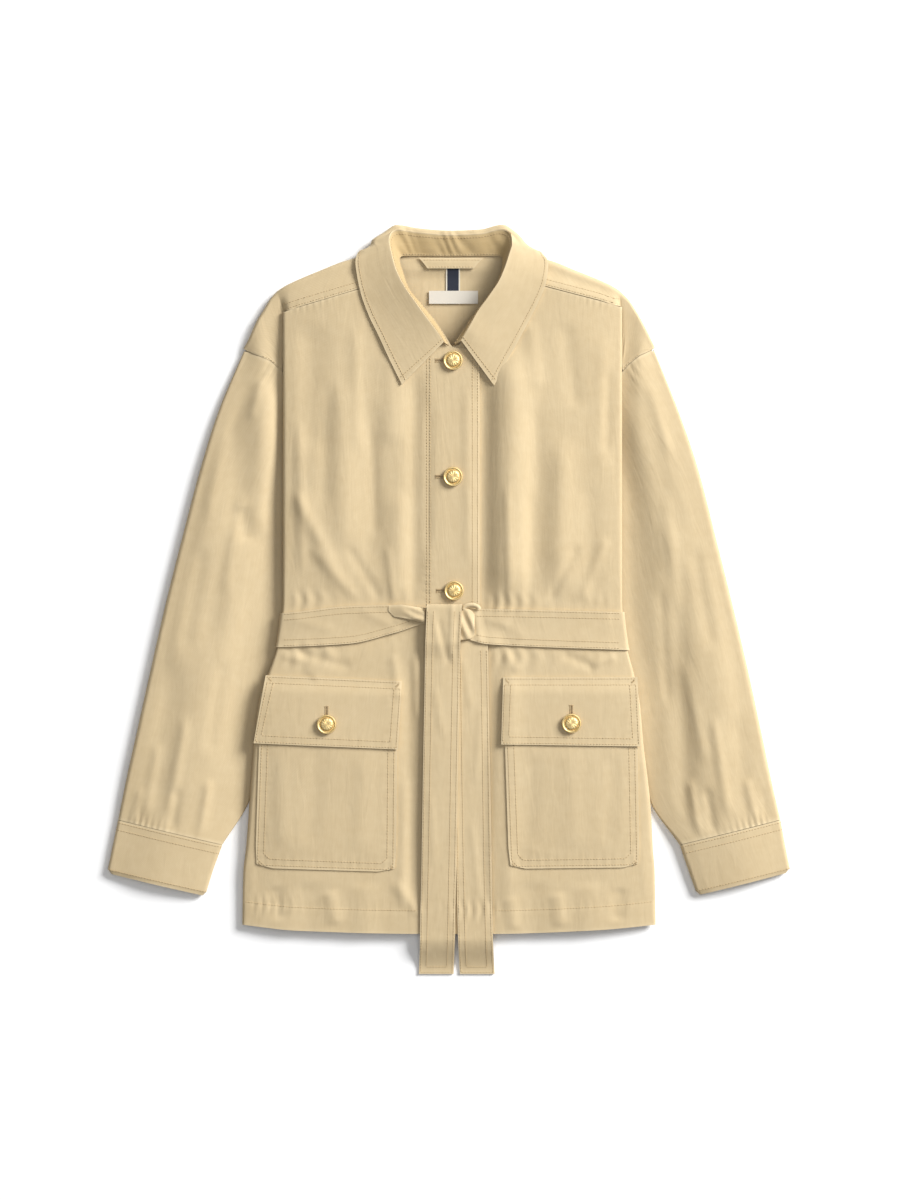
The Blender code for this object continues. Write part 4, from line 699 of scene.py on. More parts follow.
def back_grid(count=64, neck_count=26):
    """The back: flat on the surface, over both shoulders, and open at the neck."""
    right, right_at = shoulder_lines(RIGHT_SHOULDER, count)
    left, left_at = shoulder_lines(LEFT_SHOULDER, count)
    neck = np.linspace(NECK_COLUMNS[0], NECK_COLUMNS[-1], neck_count)
    neck_at = np.interp(neck, NECK_COLUMNS, range(len(NECK_COLUMNS))) + len(RIGHT_SHOULDER)
    lines = right + [[(x, NECK_Y, float(back_lift(x, NECK_Y)))] for x in neck] + left[::-1]
    last = len(RIGHT_SHOULDER) + len(NECK_COLUMNS) + len(LEFT_SHOULDER) - 1
    across = np.concatenate([right_at, neck_at, last - left_at[::-1]]) / last
    grid = []
    hem_row = -348
    over_belt = np.arange(-60, 0, 2.5)
    for y in [hem_row, *np.arange(-342, -60, 7), *over_belt, *np.arange(0, UNDERARM_Y, 8), UNDERARM_Y]:
        right_rim = -read(RIGHT_SIDE, "y", "seam", y) + BACK_INSET
        left_rim = read(LEFT_SIDE, "y", "seam", y) - BACK_INSET
        x = right_rim + (left_rim - right_rim) * across
        place = read(HEM, "x", "y", x) + BACK_HEM_RISE if y == hem_row else y + 0 * x
        grid.append(np.stack([x, place, back_lift(x, place)], axis=1))
    low, high = grid[-1][:, :2], np.array([line[0][:2] for line in lines])
    for share in [*np.linspace(0, 0.7, 16)[1:], *np.linspace(0.7, 1, 26)[1:-1]]:
        spot = low + (high - low) * share
        grid.append(np.column_stack([spot, back_lift(spot[:, 0], spot[:, 1])]))
    for step in range(len(lines[0])):
        grid.append([line[step] if step < len(line) else NO_POINT for line in lines])
    return np.array(grid)


def armhole_offset(ring, shoulder, hidden):
    """How far the armhole seam lies towards the body from the straight line across the sleeve's first ring."""
    start, end = np.array([ring.out_x, ring.out_y]), np.array([ring.in_x, ring.in_y])
    reach = float(np.hypot(*(end - start)))
    ahead = (end - start) / reach
    aside = np.array([-ahead[1], ahead[0]]) * (1 if ring.out_x < 0 else -1)
    found = [(0.0, 0.0)]
    for place in [(over.end_x, over.end_y) for over in shoulder[:ARMHOLE_ROWS]] + hidden:
        away = np.array(place) - start
        found.append((float(away @ ahead) / reach, float(away @ aside) - SEAM_GAP))
    found.append((1.0, 0.0))
    return aside, [at for at, _ in found], [out for _, out in found]


def tube_ring(ring, offset, rise, top_columns=62):
    """One ring of a flattened tube: along the surface, round its outer fold, over the top, round its inner fold."""
    outer, inner = np.array([ring.out_x, ring.out_y]), np.array([ring.in_x, ring.in_y])
    width = float(np.hypot(*(inner - outer)))
    ahead = (inner - outer) / width
    out_radius, in_radius = ring.out_z / 2, ring.in_z / 2
    out_turn, in_turn = out_radius / width, in_radius / width
    shares = np.linspace(1 - in_turn, out_turn, FLAT_COLUMNS, endpoint=False)
    below = np.column_stack([outer + np.outer(shares * width, ahead), 0 * shares])
    turns = np.linspace(0, math.pi, 10, endpoint=False)
    turned = outer + np.outer(1 - np.sin(turns), ahead) * out_radius
    outside = np.column_stack([turned, out_radius * (1 - np.cos(turns))])
    shares = np.linspace(out_turn, 1 - in_turn, top_columns, endpoint=False)
    place = outer + np.outer(shares * width, ahead)
    if ring.bulge > 0:
        aside, at, out = offset
        place = place + np.outer(ring.bulge * bend(at, out, shares), aside)
    heights = [ring.out_z, ring.crown, ring.shelf, ring.in_z]
    z = bend([out_turn, ring.crown_at, ring.shelf_at, 1 - in_turn], heights, shares)
    calm = smooth_step((shares - 0.04) / 0.15) * smooth_step((0.97 * ring.shelf_at - shares) / 0.15)
    above = np.column_stack([place, z + calm * rise(place[:, 0], place[:, 1])])
    turns = np.linspace(0, math.pi, 8, endpoint=False)
    turned = inner - np.outer(1 - np.sin(turns), ahead) * in_radius
    return np.concatenate([below, outside, above, np.column_stack([turned, in_radius * (1 + np.cos(turns))])])


def rings_between(rings, count):
    """Rings read smoothly from the table's rows, evenly along the tube."""
    return table_finer(rings, travelled([(ring.out_x, ring.out_y) for ring in rings]), count)[0]


def sleeve_rise(x, y):
    """The sleeves' ridges and troughs, with their creases and puckers."""
    fine = CREASE_DEPTH * fold_height(SLEEVE_CREASES, x, y) + pucker_height(SLEEVE_PUCKERS, x, y)
    return fold_height(SLEEVE_FOLDS, x, y) + fine + drift(x, y)


def sleeve_grids(rings, shoulder, hidden, count=132):
    """The top sleeve, folded round on both sides, and the under sleeve, flat on the surface between its edges."""
    offset = armhole_offset(rings[0], shoulder, hidden)
    grid = np.array([tube_ring(ring, offset, sleeve_rise) for ring in rings_between(rings, count)])
    first, last = FLAT_COLUMNS + 2, grid.shape[1] - 2
    return grid[:, first : last + 1], np.concatenate([grid[:, last + 1 :], grid[:, :first]], axis=1)


def cuff_grid(rings, count=26):
    """A doubled cuff, whose last rings turn in at its mouth."""
    steps = rings_between(rings[:3], count - 4) + rings_between(rings[2:], 5)[1:]
    return np.array([tube_ring(ring, None, lambda x, y: 0.25 * drift(x, y)) for ring in steps])


def stand_path(station):
    """The collar from its seam up to its roll, bowed a little."""
    seam, roll = np.array(station[:3]), np.array(station[3:6])
    shares = np.linspace(0, 1, 17)
    path = seam + np.outer(shares, roll - seam)
    path[:, 2] += (roll[2] - seam[2]) * 0.1 * np.sin(math.pi * shares)
    return path


def leaf_points(station, fine=3):
    """The collar from its roll out to its edge and, at the back, round the turn and on under itself."""
    roll, end = np.array(station[3:6]), np.array(station[9:])
    whole = np.linspace(0, 1, 11 * fine + 1)
    if station.turn_x is ON_TOP:
        shares = np.linspace(0, 1, 24)
        path = roll + np.outer(shares, end - roll)
        path[:, 2] = end[2] + (roll[2] - end[2]) * (1 - shares) ** 1.3
        return along_path(path, whole)
    turn, radius = np.array([station.turn_x, station.turn_y]), station.turn_z / 2
    outward = (turn - roll[:2]) / np.hypot(*(turn - roll[:2]))
    inward = (end[:2] - turn) / np.hypot(*(end[:2] - turn))
    arc = []
    for angle in np.linspace(0, math.acos(end[2] / radius - 1), 13):
        ahead = -outward if angle < math.pi / 2 else inward
        arc.append((*(turn + ahead * radius * (1 - math.sin(angle))), radius * (1 + math.cos(angle))))
    if end[2] > 0:
        return along_path([roll, *arc], whole)
    return np.concatenate([
        along_path([roll, arc[0]], np.linspace(0, 1, 3 * fine, endpoint=False)),
        along_path(arc, np.linspace(0, 1, 5 * fine, endpoint=False)),
        along_path([arc[-1], end], np.linspace(0, 1, 3 * fine + 1)),
    ])


def band_creased(grid):
    """The collar with the short creases that stand across its band at the back of the neck."""
    x, y = grid[..., 0], grid[..., 1]
    behind = smooth_step((y - 366) / 8) * smooth_step((70 - np.abs(x)) / 24) * (grid[..., 2] > 4)
    sharp = np.sin((x + 0.6 * y) / 1.8 + 1.9 * np.sin(x / 6.1)) * (0.5 + 0.5 * np.sin(x / 9.7 + 1))
    grid[..., 2] += behind * (0.5 * sharp + 0.35 * np.sin((x - 0.5 * y) / 4.3 + y / 5))
    return grid


def collar_grids(count=190):
    """The stand, and the leaf, which starts just under the roll."""
    stand, leaf = [], []
    for station in COLLAR:
        path = stand_path(station)
        stand.append(along_path(path, np.linspace(0, LEAF_START - 0.005, 16)))
        leaf.append(np.concatenate([along_path(path, np.linspace(LEAF_START, 1, 7)[:-1]), leaf_points(station)]))
    return band_creased(finer(stand, count)), band_creased(finer(leaf, count))


def panel_points(corners, u, v):
    """Places on a pocket or flap: u from its inner to its outer edge, v from its lower to its upper edge."""
    places = []
    for in_top, out_top, in_low, out_low in (corners[0::2], corners[1::2]):
        low, high = in_low + (out_low - in_low) * u, in_top + (out_top - in_top) * u
        places.append(low + (high - low) * v)
    return places


def drawn_in(u, v, x, y, depth=0.15, row=8, reach=7):
    """Small ripples along a panel's stitched edges, strongest over the inner row of stitches."""
    side = bell((np.minimum(u, 1 - u) * POCKET_WIDTH - row) / reach) * np.sin(y / 1.25 + 1.2 * np.sin(y / 9))
    end = bell((v * POCKET_LENGTH - row) / reach) * np.sin(x / 1.4 + 1.2 * np.sin(x / 11))
    return depth * (side + end)


def bag_grid(corners, columns=62, rows=76):
    """A patch pocket on its front, with its lower corners cut off and its middle standing out."""
    u, v = np.meshgrid(np.linspace(0, 1, columns), np.linspace(0, 1, rows))
    x, y = panel_points(corners, u, v)
    corner = np.maximum(0, 1 - v * 8) * np.maximum(0, 1 - np.minimum(u, 1 - u) * 8)
    y = y + corner * BAG_CORNER * 0.35
    x = x - corner * BAG_CORNER * 0.15 * np.where(u > 0.5, 1, -1) * np.where(x > 0, 1, -1)
    full = smooth_step(np.minimum(u, 1 - u) / 0.2) * smooth_step(v / 0.2)
    puff = BAG_PUFF * full + 1.2 * full * fold_height(BAG_CREASES, x, y)
    return np.stack([x, y, creased(x, y) + GAP + CLOTH + puff + drawn_in(u, v, x, y)], axis=2)


def flap_height(v):
    """The flap's outer face above the front: sewn down at the top, over the bag below."""
    return GAP + CLOTH + 0.2 + (BAG_PUFF + GAP + CLOTH + 0.3) * smooth_step((1 - v) / 0.25)


def flap_grid(corners, columns=62, rows=32):
    """A flap over its pocket, lifted a little by the button at its lower edge."""
    u, v = np.meshgrid(np.linspace(0, 1, columns), np.linspace(0, 1, rows))
    x, y = panel_points(corners, u, v)
    lift = 0.27 * smooth_step((0.25 - v) / 0.25) * np.sin(math.pi * np.clip((u - 0.12) / 0.76, 0, 1)) ** 2
    ripple = 0.8 * drawn_in(u, v * FLAP_SHARE, x, y)
    return np.stack([x, y, creased(x, y) + flap_height(v) + lift + ripple], axis=2)


def belt_side(side, y):
    """The belt's outer face round one side of the body, from the fold to the surface under the back."""
    out = 1.5 * GAP + BELT_CLOTH
    seam, under, _, points = side_turn(side, y, out)
    points += [(seam + out + further, under - out - lower) for further, lower in ((1.2, 0), (0.4, 0.5), (0, 1.6))]
    turns = [math.radians(30 * step) for step in range(4)]
    return points + [(seam + out * math.cos(turn), out * (1 - math.sin(turn))) for turn in turns]


def belt_height(x, y):
    """The belt's outer face over the fronts."""
    return creased(x, y) + 1.5 * GAP + BELT_CLOTH + 0.3 + np.maximum(0, fold_height(BELT_CREASES, x, y))


def belt_grid(across=15):
    """The belt from one side of the knot round the waist, under the back, to the other side of the knot."""
    lines = []
    for share in np.linspace(0, 1, across):
        front = []
        for xs in (np.linspace(-18, -165, 62), np.linspace(172, 14, 66)):
            upper, lower = read(BELT_FRONT, "x", "upper", xs), read(BELT_FRONT, "x", "lower", xs)
            ys = upper + (lower - upper) * share
            front.append(np.column_stack([xs, ys, belt_height(xs, ys)]))
        right_y, left_y = (run.upper + (run.lower - run.upper) * share for run in (BELT_FRONT[0], BELT_FRONT[-1]))
        right = [(-out, right_y, z) for out, z in belt_side(RIGHT_SIDE, right_y)]
        level = BELT_BACK_UPPER + (BELT_BACK_LOWER - BELT_BACK_UPPER) * share
        under = [(x, level, 0.0) for x in np.linspace(-120, 120, 25)]
        left = [(out, left_y, z) for out, z in belt_side(LEFT_SIDE, left_y)[::-1]]
        lines.append(np.concatenate([front[0], right, under, left, front[1]]))
    return np.array(lines)


def tail_height(x, y, lift):
    """A belt end's outer face: on the front, then down to the surface past the hem."""
    edge = read(HEM, "x", "y", x)
    hem = edge - PAST_HEM
    start = creased(x, edge) + lift
    ease = smooth_step((hem - y) / (hem - TAIL_LAND))
    return np.where(y > hem, creased(x, np.maximum(y, edge)) + lift, start + (BELT_CLOTH + 0.2 - start) * ease)


def tail_grid(rows, start, across=16, step=3.0):
    """One hanging end of the belt, from its start down to its tip."""
    down = [*np.arange(start, TAIL_TIP, -step), TAIL_TIP]
    y, u = np.meshgrid(down, np.linspace(0, 1, across), indexing="ij")
    x = read(rows, "y", "x", y) + TAIL_WIDTH * u
    sag = 0.25 * np.sin(y / 29 + 1.4 * np.sin(y / 47)) * np.sin(math.pi * u) + fold_height(TAIL_CREASES, x, y)
    ripple = 0.16 * np.sin(y / 1.5 + 1.3 * np.sin(y / 13)) * bell((np.minimum(u, 1 - u) * 37 - 5) / 5)
    height = tail_height(x, y, read(rows, "y", "z", y)) + (sag + ripple) * smooth_step((y + 395) / 20)
    return np.stack([x, y, height], axis=2)


def tail_over_grid():
    """The belt's end that rolls over the top of the knot and hangs down."""
    first = tail_grid(TAIL_OVER, -7.5)[0]
    roll = []
    for turn in (math.radians(angle) for angle in (-60, -35, -10, 20, 55)):
        roll.append(first + np.array([0, TAIL_ROLL * math.cos(turn), TAIL_ROLL * (math.sin(turn) - 1)]))
    return np.concatenate([roll, tail_grid(TAIL_OVER, -9.5)])


def knot_grid():
    """The bunched cloth of the knot, a flattened roll between the belt and the end that falls over it."""
    turns = np.linspace(0, 2 * math.pi, 40, endpoint=False)
    up = np.copysign(np.abs(np.sin(turns)) ** 0.6, np.sin(turns))
    rows = []
    for x in np.linspace(KNOT[0].x, KNOT[-1].x, 30):
        upper, lower, high = (float(read(KNOT, "x", name, x)) for name in ("upper", "lower", "high"))
        middle, half = (upper + lower) / 2, (upper - lower) / 2
        base = max(float(creased(x, middle + half * share)) for share in (-1, -0.5, 0, 0.5, 1)) + KNOT_LOW
        y = middle + half * np.cos(turns)
        fold = 1.3 * np.sin((x * 0.92 + y * 0.4) / 1.7) * (up > 0) * np.abs(np.sin(turns))
        rows.append(np.column_stack([x + 0 * y, y, base + (high - KNOT_LOW) / 2 * (1 + up) + fold]))
    return np.array(rows)


def belt_fold_grid():
    """The upper part of the belt's run folded down over itself where it goes into the knot."""
    u, v = np.meshgrid(np.linspace(0, 1, 34), np.linspace(0, 1, 12))
    x = -64 + 38.5 * u
    upper = np.interp(x, [-64, -50, -25.5], [-6.4, -5.4, -9.4])
    lower = np.interp(x, [-64, -58, -44, -25.5], [-12.5, -18.2, -20.4, -25.2])
    y = lower + (upper - lower) * v
    roll = 2.6 * np.sin(math.pi * np.clip(v * 0.9 + 0.1, 0, 1)) ** 0.6 * (0.1 + 0.9 * smooth_step(u / 0.8))
    crease = 0.5 * np.sin((y + 0.45 * x) / 1.5) * smooth_step((u - 0.3) / 0.4)
    lift = 0.5 + 1.5 * smooth_step(u / 0.5) + roll + crease
    return np.stack([x, y, belt_height(x, np.minimum(y, -9)) + lift], axis=2)


def belt_loop_grid():
    """The short loop of the belt that stands above the knot."""
    turn, v = np.meshgrid(np.linspace(math.pi, 0.1, 26), np.linspace(-1, 1, 8))
    x, y = 24.2 + (8.2 + 1.9 * v) * np.cos(turn), -10.5 + (4.6 + 1.9 * v) * np.sin(turn)
    base = np.maximum(creased(x, y), creased(x, np.minimum(y, -14)))
    return np.stack([x, y, base + 4.6 + 1.6 * (1 - v * v)], axis=2)


def neck_grid(rows, count, across):
    """A trim inside the neck: rows of (x, y, rise) points, laid over the back."""
    rows = finer(finer(rows, count).transpose(1, 0, 2), across).transpose(1, 0, 2)
    rows[..., 2] += back_lift(rows[..., 0], rows[..., 1]) + CLOTH
    return rows


def hex_colour(code):
    """A linear colour from an sRGB hex value."""
    parts = [int(code[i : i + 2], 16) / 255 for i in (1, 3, 5)]
    return tuple(c / 12.92 if c <= 0.04045 else ((c + 0.055) / 1.055) ** 2.4 for c in parts) + (1.0,)


def add(tree, kind, links=(), **settings):
    """A node with its settings, and links into it: each link is (its input, another node, that node's output).

    A setting that starts with in_ is an input's value. A colour mix has its colours in inputs 6 and 7, and its
    result in output 2."""
    node = tree.nodes.new(kind)
    for name, value in settings.items():
        if name.startswith("in_"):
            key = name[3:]
            node.inputs[int(key) if key.isdigit() else key.replace("_", " ")].default_value = value
        else:
            setattr(node, name, value)
    for where, source, output in links:
        tree.links.new(source.outputs[output], node.inputs[where])
    return node


def start_material(name):
    """A material with an empty tree, and that tree."""
    material = bpy.data.materials.new(name)
    material.use_nodes = True
    material.node_tree.nodes.clear()
    return material, material.node_tree


def finish_material(material, base, links, **sockets):
    """The material's surface: its colour, its other links and what is the same all over it."""
    tree = material.node_tree
    shader = add(tree, "ShaderNodeBsdfPrincipled", [("Base Color", base, 2), *links], **sockets)
    add(tree, "ShaderNodeOutputMaterial", [("Surface", shader, "BSDF")])
    return material


def cotton_twill(name, colour, dark, light):
    """Washed cotton twill: matt, with a fine diagonal rib, slubs along the yarns and paler worn edges.

    The real rib is 0.6 mm apart; it is drawn 1.5 mm apart, so that it shows."""
    material, tree = start_material(name)
    colour, dark, light = hex_colour(colour), hex_colour(dark), hex_colour(light)
    uv = add(tree, "ShaderNodeUVMap", uv_map="cloth")
    steep = add(tree, "ShaderNodeMapping", [("Vector", uv, "UV")], in_Scale=(1000,) * 3,
                in_Rotation=(0, 0, math.radians(63)))
    rib = add(tree, "ShaderNodeTexWave", [("Vector", steep, "Vector")], in_Scale=0.21, in_Distortion=1.2,
              in_Detail=1.0, in_Detail_Scale=2.0)
    long = add(tree, "ShaderNodeMapping", [("Vector", uv, "UV")], in_Scale=(260, 26, 1))
    yarn = add(tree, "ShaderNodeTexNoise", [("Vector", long, "Vector")], in_Scale=2.2, in_Detail=2.0)
    place = add(tree, "ShaderNodeTexCoord")
    patch = add(tree, "ShaderNodeTexNoise", [("Vector", place, "Object")], in_Scale=14.0, in_Detail=3.0,
                in_Roughness=0.6)
    mottle = add(tree, "ShaderNodeTexNoise", [("Vector", place, "Object")], in_Scale=120.0, in_Detail=2.0)
    wear = add(tree, "ShaderNodeAttribute", attribute_name="wear")
    base = add(tree, "ShaderNodeMix", [("Factor", patch, "Fac")], data_type="RGBA", in_6=dark, in_7=colour)
    spread = add(tree, "ShaderNodeMapRange", [("Value", mottle, "Fac")], in_From_Min=0.3, in_From_Max=0.7,
                 in_To_Min=0.0, in_To_Max=0.14)
    slub = add(tree, "ShaderNodeMapRange", [("Value", yarn, "Fac")], in_From_Min=0.35, in_From_Max=0.75,
               in_To_Min=0.0, in_To_Max=0.2)
    worn = add(tree, "ShaderNodeMath", [(0, wear, "Fac")], operation="MULTIPLY", in_1=0.35)
    for amount, output, tone in ((spread, "Result", light), (slub, "Result", dark), (worn, "Value", light)):
        base = add(tree, "ShaderNodeMix", [("Factor", amount, output), (6, base, 2)], data_type="RGBA", in_7=tone)
    rough = add(tree, "ShaderNodeMapRange", [("Value", rib, "Fac")], in_To_Min=0.78, in_To_Max=0.9)
    stretched = add(tree, "ShaderNodeMapping", [("Vector", uv, "UV")], in_Scale=(95, 24, 1), in_Rotation=(0, 0, 0.12))
    wrinkle = add(tree, "ShaderNodeTexNoise", [("Vector", stretched, "Vector")], in_Scale=1.0, in_Detail=3.0,
                  in_Roughness=0.5, in_Distortion=0.8)
    relief = add(tree, "ShaderNodeBump", [("Height", wrinkle, "Fac")], in_Strength=0.3, in_Distance=0.0012)
    for height, strength, depth in ((rib, 0.22, 0.0001), (yarn, 0.3, 0.0002)):
        relief = add(tree, "ShaderNodeBump", [("Height", height, "Fac"), ("Normal", relief, "Normal")],
                     in_Strength=strength, in_Distance=depth)
    links = [("Roughness", rough, "Result"), ("Normal", relief, "Normal")]
    return finish_material(material, base, links, in_Sheen_Weight=0.08, in_Sheen_Roughness=0.5,
                           in_Specular_IOR_Level=0.3)


def sewing_thread(name, colour, dark):
    """Spun polyester sewing thread: two plies twisted together, slightly glossy, a shade off the cloth."""
    material, tree = start_material(name)
    place = add(tree, "ShaderNodeTexCoord")
    ply = add(tree, "ShaderNodeTexNoise", [("Vector", place, "Object")], in_Scale=900.0, in_Detail=1.0)
    base = add(tree, "ShaderNodeMix", [("Factor", ply, "Fac")], data_type="RGBA", in_6=hex_colour(dark),
               in_7=hex_colour(colour))
    twist = add(tree, "ShaderNodeBump", [("Height", ply, "Fac")], in_Strength=0.4, in_Distance=0.0001)
    return finish_material(material, base, [("Normal", twist, "Normal")], in_Roughness=0.6, in_Sheen_Weight=0.1)


def gilt_brass(name, colour, dark):
    """Brass, stamped, gilt and polished: bright on the raised parts, a little darker where polish stays behind."""
    material, tree = start_material(name)
    place = add(tree, "ShaderNodeTexCoord")
    polish = add(tree, "ShaderNodeTexNoise", [("Vector", place, "Object")], in_Scale=260.0, in_Detail=3.0)
    tone = add(tree, "ShaderNodeMapRange", [("Value", polish, "Fac")], in_From_Min=0.35, in_From_Max=0.65,
               in_To_Min=0.0, in_To_Max=0.5)
    base = add(tree, "ShaderNodeMix", [("Factor", tone, "Result")], data_type="RGBA", in_6=hex_colour(colour),
               in_7=hex_colour(dark))
    rough = add(tree, "ShaderNodeMapRange", [("Value", polish, "Fac")], in_To_Min=0.5, in_To_Max=0.65)
    grain = add(tree, "ShaderNodeBump", [("Height", polish, "Fac")], in_Strength=0.15, in_Distance=0.0002)
    links = [("Roughness", rough, "Result"), ("Normal", grain, "Normal")]
    return finish_material(material, base, links, in_Metallic=1.0)


def woven_tape(name, colour, edge, half):
    """Narrow cotton grosgrain tape with crosswise ribs 0.8 mm apart and a pale yarn along each edge."""
    material, tree = start_material(name)
    uv = add(tree, "ShaderNodeUVMap", uv_map="cloth")
    split = add(tree, "ShaderNodeSeparateXYZ", [("Vector", uv, "UV")])
    side = add(tree, "ShaderNodeMath", [(0, split, "X")], operation="ABSOLUTE")
    is_edge = add(tree, "ShaderNodeMath", [(0, side, "Value")], operation="GREATER_THAN", in_1=half)
    ribs = add(tree, "ShaderNodeTexWave", [("Vector", uv, "UV")], bands_direction="Y", in_Scale=390.0,
               in_Distortion=0.6)
    base = add(tree, "ShaderNodeMix", [("Factor", is_edge, "Value")], data_type="RGBA", in_6=hex_colour(colour),
               in_7=hex_colour(edge))
    shade = add(tree, "ShaderNodeMapRange", [("Value", ribs, "Fac")], in_To_Min=0.0, in_To_Max=0.3)
    base = add(tree, "ShaderNodeMix", [("Factor", shade, "Result"), (6, base, 2)], data_type="RGBA",
               in_7=(0.02, 0.02, 0.03, 1))
    rise = add(tree, "ShaderNodeBump", [("Height", ribs, "Fac")], in_Strength=0.22, in_Distance=0.0001)
    return finish_material(material, base, [("Normal", rise, "Normal")], in_Roughness=0.8)


def label_satin(name, colour, dark):
    """A label of polyester satin: smooth and slightly glossy, with a fine crosswise weave."""
    material, tree = start_material(name)
    uv = add(tree, "ShaderNodeUVMap", uv_map="cloth")
    weave = add(tree, "ShaderNodeTexWave", [("Vector", uv, "UV")], in_Scale=420.0, in_Distortion=0.8)
    tone = add(tree, "ShaderNodeMapRange", [("Value", weave, "Fac")], in_To_Min=0.0, in_To_Max=0.5)
    base = add(tree, "ShaderNodeMix", [("Factor", tone, "Result")], data_type="RGBA", in_6=hex_colour(colour),
               in_7=hex_colour(dark))
    rise = add(tree, "ShaderNodeBump", [("Height", weave, "Fac")], in_Strength=0.3, in_Distance=0.0001)
    return finish_material(material, base, [("Normal", rise, "Normal")], in_Roughness=0.5, in_Sheen_Weight=0.15)


def studio_floor(name, colour):
    """Matt white studio paper: nearly flat, with the faintest tone in it."""
    material, tree = start_material(name)
    place = add(tree, "ShaderNodeTexCoord")
    fibre = add(tree, "ShaderNodeTexNoise", [("Vector", place, "Object")], in_Scale=6.0, in_Detail=2.0)
    base = add(tree, "ShaderNodeMix", [("Factor", fibre, "Fac")], data_type="RGBA", in_6=hex_colour(colour),
               in_7=hex_colour("#FFFFFF"))
    return finish_material(material, base, [], in_Roughness=0.9, in_Specular_IOR_Level=0.1)


def material_for(name):
    """One of the materials, which are made once and used by all the pieces."""
    if not MATERIALS:
        tones = bpy.context.scene.jacket_colours
        body = (tones.cloth, tones.cloth_dark, tones.cloth_light)
        MATERIALS["twill"] = cotton_twill("washed_cotton_twill", *body)
        MATERIALS["collar"] = cotton_twill("doubled_cotton_twill", *body)
        # Painted shade: the stand and band take a darker copy of the body's twill, for the shade that falls on the
        # band and inside the neck.
        MATERIALS["stand"] = cotton_twill("band_cotton_twill", tones.band, tones.band_painted_shade_dark, tones.cloth)
        MATERIALS["thread"] = sewing_thread("spun_polyester_thread", tones.thread, tones.cloth_dark)
        # Painted shadow: dark spindles along each buttonhole's cut, drawn with the thread's material, where the
        # opening shows only shade.
        MATERIALS["slit"] = sewing_thread("buttonhole_shadow_thread", "#7A5B36", "#5A4226")
        MATERIALS["brass"] = gilt_brass("gilt_polished_brass", tones.brass, "#CDAE6C")
        MATERIALS["tape"] = woven_tape("navy_grosgrain_tape", "#1E2433", "#E9E2D2", 0.0062)
        MATERIALS["label"] = label_satin("ecru_label_satin", "#DCD5C8", "#CBC3B3")
        MATERIALS["floor"] = studio_floor("matt_white_paper", "#FDFDFD")
    return MATERIALS[name]


def path_on(name, points, step=1.2, lift=0.1, floor=0.8):
    """Where a line of (x, y) points lies on a panel seen from above, with the panel's normals along it."""
    if name not in TREES:
        mesh = MESHES[name]
        faces = [tuple(p.vertices) for p in mesh.polygons]
        TREES[name] = BVHTree.FromPolygons([v.co for v in mesh.vertices], faces)
    lengths = travelled(points)
    at = np.linspace(0, lengths[-1], max(2, int(lengths[-1] / step) + 1))
    found, normals = [], []
    for x, y in on_line(lengths, points, at):
        spot, normal, _, _ = TREES[name].ray_cast(Vector((x * MM, y * MM, 0.2)), Vector((0, 0, -1)))
        if spot is not None and spot.z >= floor * MM:
            found.append(np.array(spot) / MM + np.array(normal) * lift)
            normals.append(np.array(normal) * (1 if normal.z > 0 else -1))
    return np.array(found), np.array(normals)


def stitch_master(length, thickness):
    """One stitch as it shows: a short spindle of thread, lying along X."""
    bpy.ops.object.select_all(action="DESELECT")
    bpy.ops.mesh.primitive_uv_sphere_add(segments=6, ring_count=4, radius=0.5)
    master = bpy.context.object
    bpy.ops.object.mode_set(mode="EDIT")
    bpy.ops.mesh.select_all(action="SELECT")
    bpy.ops.transform.rotate(value=math.pi / 2, orient_axis="Y", center_override=(0, 0, 0))
    bpy.ops.transform.resize(value=(length * MM, thickness * MM, thickness * MM))
    bpy.ops.mesh.normals_make_consistent(inside=False)
    bpy.ops.object.mode_set(mode="OBJECT")
    points = np.array([v.co for v in master.data.vertices])
    faces = [tuple(p.vertices) for p in master.data.polygons]
    bpy.data.objects.remove(master, do_unlink=True)
    return points, faces


def places_along(path, normals, pitch, widest_gap=6):
    """Where the stitches of one row lie: the middle, the direction and the upward side of each."""
    if len(path) < 2:
        return []
    breaks = np.where(np.linalg.norm(np.diff(path, axis=0), axis=1) > widest_gap)[0] + 1
    places = []
    for part, upward in zip(np.split(path, breaks), np.split(normals, breaks)):
        along = travelled(part)
        for at in np.arange(pitch / 2, along[-1], pitch):
            behind, ahead = on_line(along, part, [max(at - 1, 0), min(at + 1, along[-1])])
            places.append((on_line(along, part, at), ahead - behind, on_line(along, upward, at)))
    return places


def sew(name, places, master, material="thread"):
    """All the stitches of one group as one piece, each a copy of the one stitch."""
    points, faces = master
    spots = []
    for middle, ahead, up in places:
        tangent = ahead / np.linalg.norm(ahead)
        up = up - tangent * (up @ tangent)
        up = up / np.linalg.norm(up)
        spots.append(middle * MM + points @ np.array([tangent, np.cross(up, tangent), up]))
    copies = [tuple(n * len(points) + k for k in face) for n in range(len(spots)) for face in faces]
    mesh = bpy.data.meshes.new(name)
    mesh.from_pydata(np.concatenate(spots).tolist(), [], copies)
    mesh.polygons.foreach_set("use_smooth", [True] * len(copies))
    mesh.materials.append(material_for(material))
    keep(bpy.data.objects.new(name, mesh))


def stitched(lines, pitch):
    """The stitches of lines of (x, y) points, each with the panel that it lies on."""
    return [place for node, line in lines for place in places_along(*path_on(node, line), pitch)]


def turned_stitches(node, line, ahead, pitch):
    """Stitches side by side along a short line, all turned one way."""
    return [(middle, np.array([*ahead, 0.0]), up)
            for middle, _, up in places_along(*path_on(node, line, step=0.5), pitch)]


